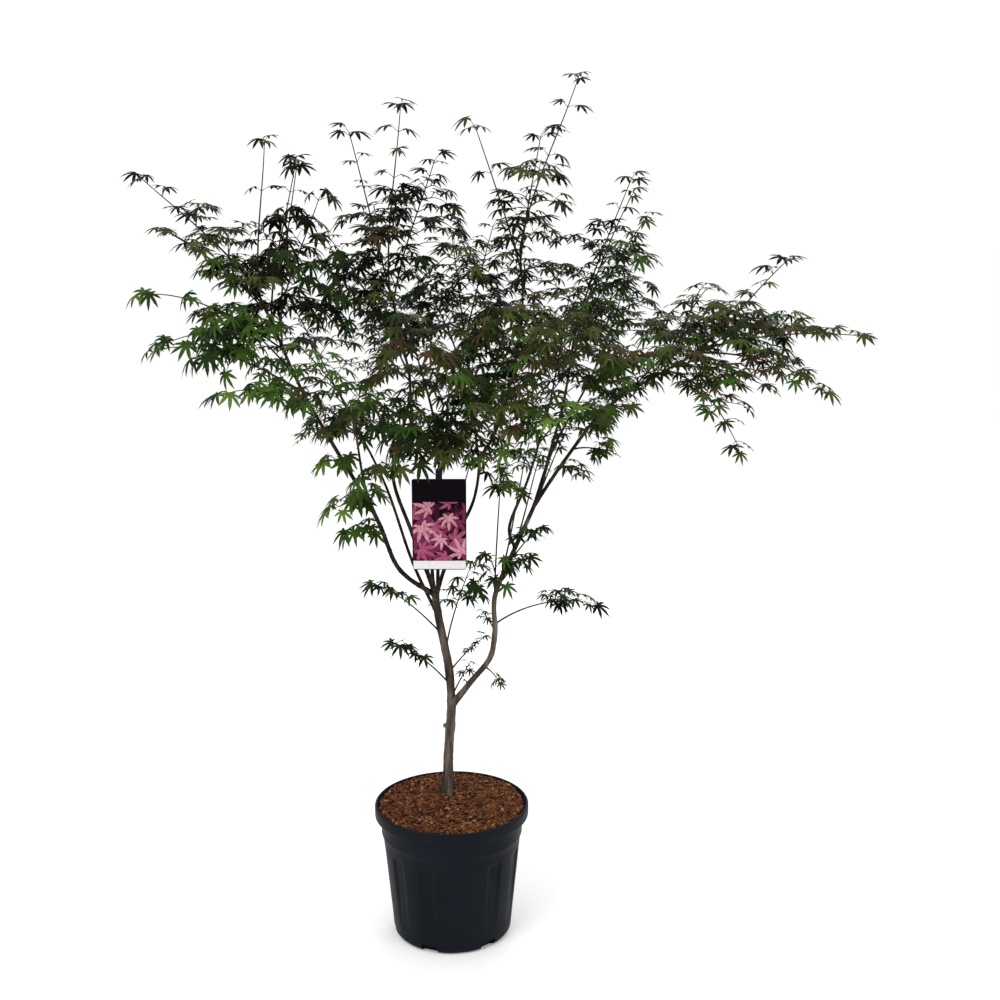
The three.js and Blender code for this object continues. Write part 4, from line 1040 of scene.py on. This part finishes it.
def add_chip(body, place, rng, edge):
    """A splinter of bark: a bent, tapering slab with uneven corners."""
    length, width, thick = (rng.uniform(*size) for size in (CHIP.length, CHIP.width, CHIP.thick))
    if hypot(place[0], place[1]) > edge - CHIP.near_edge:
        length *= CHIP.edge_length
    heading, tilt, roll = rng.uniform(0, 2 * pi), rng.gauss(0, CHIP.tilt), rng.gauss(0, CHIP.roll)
    along = np.array([cos(heading) * cos(tilt), sin(heading) * cos(tilt), sin(tilt)])
    up = turned(unit(UP - along * along[2]), along, roll)
    side = np.cross(up, along)
    centre = np.array(place) + UP * rng.uniform(*CHIP.lift)
    points = []
    for s in (-0.5, 0, 0.5):
        taper = 1 - CHIP.taper * abs(s) * rng.uniform(*CHIP.uneven)
        sag = -thick * CHIP.sag * abs(s)
        for a, b in ((-1, -1), (1, -1), (1, 1), (-1, 1)):
            points.append(centre + along * length * (s + rng.uniform(*CHIP.corner_shift))
                          + side * width * 0.5 * a * taper * rng.uniform(*CHIP.corner_width)
                          + up * (thick * 0.5 * b + sag))
    body.add(points, tube_faces(3, 4))


# ---------------------------------------------------------------- label

def box_points(low, high):
    (x0, y0, z0), (x1, y1, z1) = low, high
    points = [(x, y, z) for z in (z0, z1) for x, y in ((x0, y0), (x1, y0), (x1, y1), (x0, y1))]
    return points, tube_faces(2, 4)


def clipped(polygon, low, high):
    """The part of a flat polygon inside a rectangle."""
    for axis in (0, 1):
        for limit, keep in ((low[axis], 1), (high[axis], -1)):
            result = []
            for p, q in zip(polygon, polygon[1:] + polygon[:1]):
                dp, dq = (p[axis] - limit) * keep, (q[axis] - limit) * keep
                if dp >= 0:
                    result.append(p)
                if dp * dq < 0:
                    t = dp / (dp - dq)
                    result.append((p[0] + (q[0] - p[0]) * t, p[1] + (q[1] - p[1]) * t))
            polygon = result
            if len(polygon) < 3:
                return []
    return polygon


def build_label():
    low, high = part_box("label")
    x = (low.x + high.x) / 2
    bottom, front = low.z, low.y
    half, top, corner = TAG.width / 2, bottom + TAG.height, TAG.corner
    card = Body()
    outline = []
    for cx, cz, first in ((x + half - corner, top - corner, 0),
                          (x - half + corner, top - corner, 90),
                          (x - half + corner, bottom + corner, 180),
                          (x + half - corner, bottom + corner, 270)):
        outline += arc(cx, cz, corner, first, first + 90, 5)
    card.add([(px, y, pz) for y in (front, front + TAG.thick) for px, pz in outline],
             [face[::-1] for face in tube_faces(2, len(outline))])
    card.add(*box_points((x - TAG.strap, front + TAG.inset, top - TAG.strap_foot),
                         (x + TAG.strap, front + TAG.thick - TAG.inset, top + TAG.strap_top)))
    bough = limbs["bough_front"]
    centre, along = bough.path.at(TAG.at), bough.path.tangent(TAG.at)
    card.add(*box_points((x - TAG.neck, front + TAG.thick / 2, centre[2] - TAG.neck_height),
                         (x + TAG.neck, centre[1] - TAG.neck, centre[2] + TAG.neck_height)))
    radius = table(bough.radii, TAG.at)
    inner, outer = TAG.collar
    section = [(inner, -TAG.collar_height), (outer, -TAG.collar_height),
               (outer, TAG.collar_height), (inner, TAG.collar_height)]
    normal = unit(np.cross(along, ACROSS))
    other = np.cross(along, normal)
    collar = [centre + along * h + (radius + r) * (cos(2 * pi * i / TAG.sides) * normal
                                                   + sin(2 * pi * i / TAG.sides) * other)
              for i in range(TAG.sides) for r, h in section]
    card.add(collar, tube_faces(TAG.sides, len(section), closed=True))
    piece = card.piece("label_card", card_look("label_card", TAG.color), "label", shade=False)
    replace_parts(piece, "label")
    print_label(x, front, bottom, top)


def print_label(x, front, bottom, top):
    """Generic print: palmate leaves in pinks on a dark ground, under a dark band and over a pale
    blank strip."""
    left, right = x - TAG.width / 2 + PRINT.margin, x + TAG.width / 2 - PRINT.margin
    strip = bottom + PRINT.strip * TAG.height
    band = top - PRINT.band * TAG.height
    for name, color, foot, head in (("label_ground", PRINT.ground, strip, top - PRINT.margin),
                                    ("label_strip", PRINT.pale, bottom + PRINT.margin, strip)):
        body = Body()
        body.add(*box_points((left, front - PRINT.ink, foot), (right, front + PRINT.ink, head)))
        body.piece(name, card_look(name, color), "label", shade=False)
    leaf_points, leaf_faces = leaf_shape(0)
    rng = random.Random(PRINT.seed)
    layer = PRINT.first_layer
    for kind, (tint, color) in enumerate(PRINT.pinks.items()):
        body = Body()
        count = PRINT.leaves - kind
        for k in range(count):
            size = rng.uniform(*PRINT.leaf) * (PRINT.largest - PRINT.shrink * kind)
            spin = rng.uniform(0, 2 * pi)
            across = PRINT.step * k + PRINT.kind_step * kind + rng.uniform(*PRINT.shift)
            px = left + (right - left) * (across % 1)
            pz = strip + (band - strip) * ((k + rng.random()) / count)
            y = front - PRINT.ink * layer
            layer += PRINT.layer
            for face in leaf_faces:
                flat = [leaf_points[i][:2] * size for i in face]
                spun = [(px + u * cos(spin) - v * sin(spin),
                         pz + u * sin(spin) + v * cos(spin)) for u, v in flat]
                polygon = clipped(spun, (left, strip), (right, band))
                if polygon:
                    body.add([(u, y, v) for u, v in polygon], [list(range(len(polygon)))])
        look = card_look("label_" + tint, color, PRINT.streak)
        body.piece("label_print_" + tint, look, "label", shade=False)


# ---------------------------------------------------------------- stage

def area_light(name, place, target, size, power):
    data = bpy.data.lights.new(name, "AREA")
    data.shape = "DISK"
    data.size = size
    data.energy = power
    light = linked(name, data)
    light.location = place
    light.rotation_euler = (Vector(target) - Vector(place)).to_track_quat("-Z", "Y").to_euler()


def build_stage():
    body = Body()
    reach = STAGE.reach
    body.add([(-reach, -reach, 0), (reach, -reach, 0), (reach, reach, 0), (-reach, reach, 0)],
             [[0, 1, 2, 3]])
    floor = body.object("floor")
    floor.data.materials.append(floor_look())
    world = bpy.data.worlds.new("studio")
    world.use_nodes = True
    background = world.node_tree.nodes["Background"]
    background.inputs["Color"].default_value = (1, 1, 1, 1)
    background.inputs["Strength"].default_value = STAGE.world
    bpy.context.scene.world = world
    bpy.context.scene.view_settings.view_transform = "Standard"
    for light in LIGHTS:
        area_light(*light)


def build_camera():
    data = bpy.data.cameras.new("camera")
    data.sensor_fit = "HORIZONTAL"
    data.sensor_width = CAMERA.sensor
    data.lens = CAMERA.lens_px / CAMERA.image_px * CAMERA.sensor
    camera = linked("camera", data)
    camera.location = CAMERA.place
    camera.rotation_euler = (radians(90 - CAMERA.pitch), 0, 0)
    bpy.context.scene.camera = camera


# ---------------------------------------------------------------- assembly

build_camera()
build_stage()
for limb_row in LIMBS:
    grow_limb(*limb_row)
build_bark()
build_crown()
build_pot()
build_mulch()
build_label()
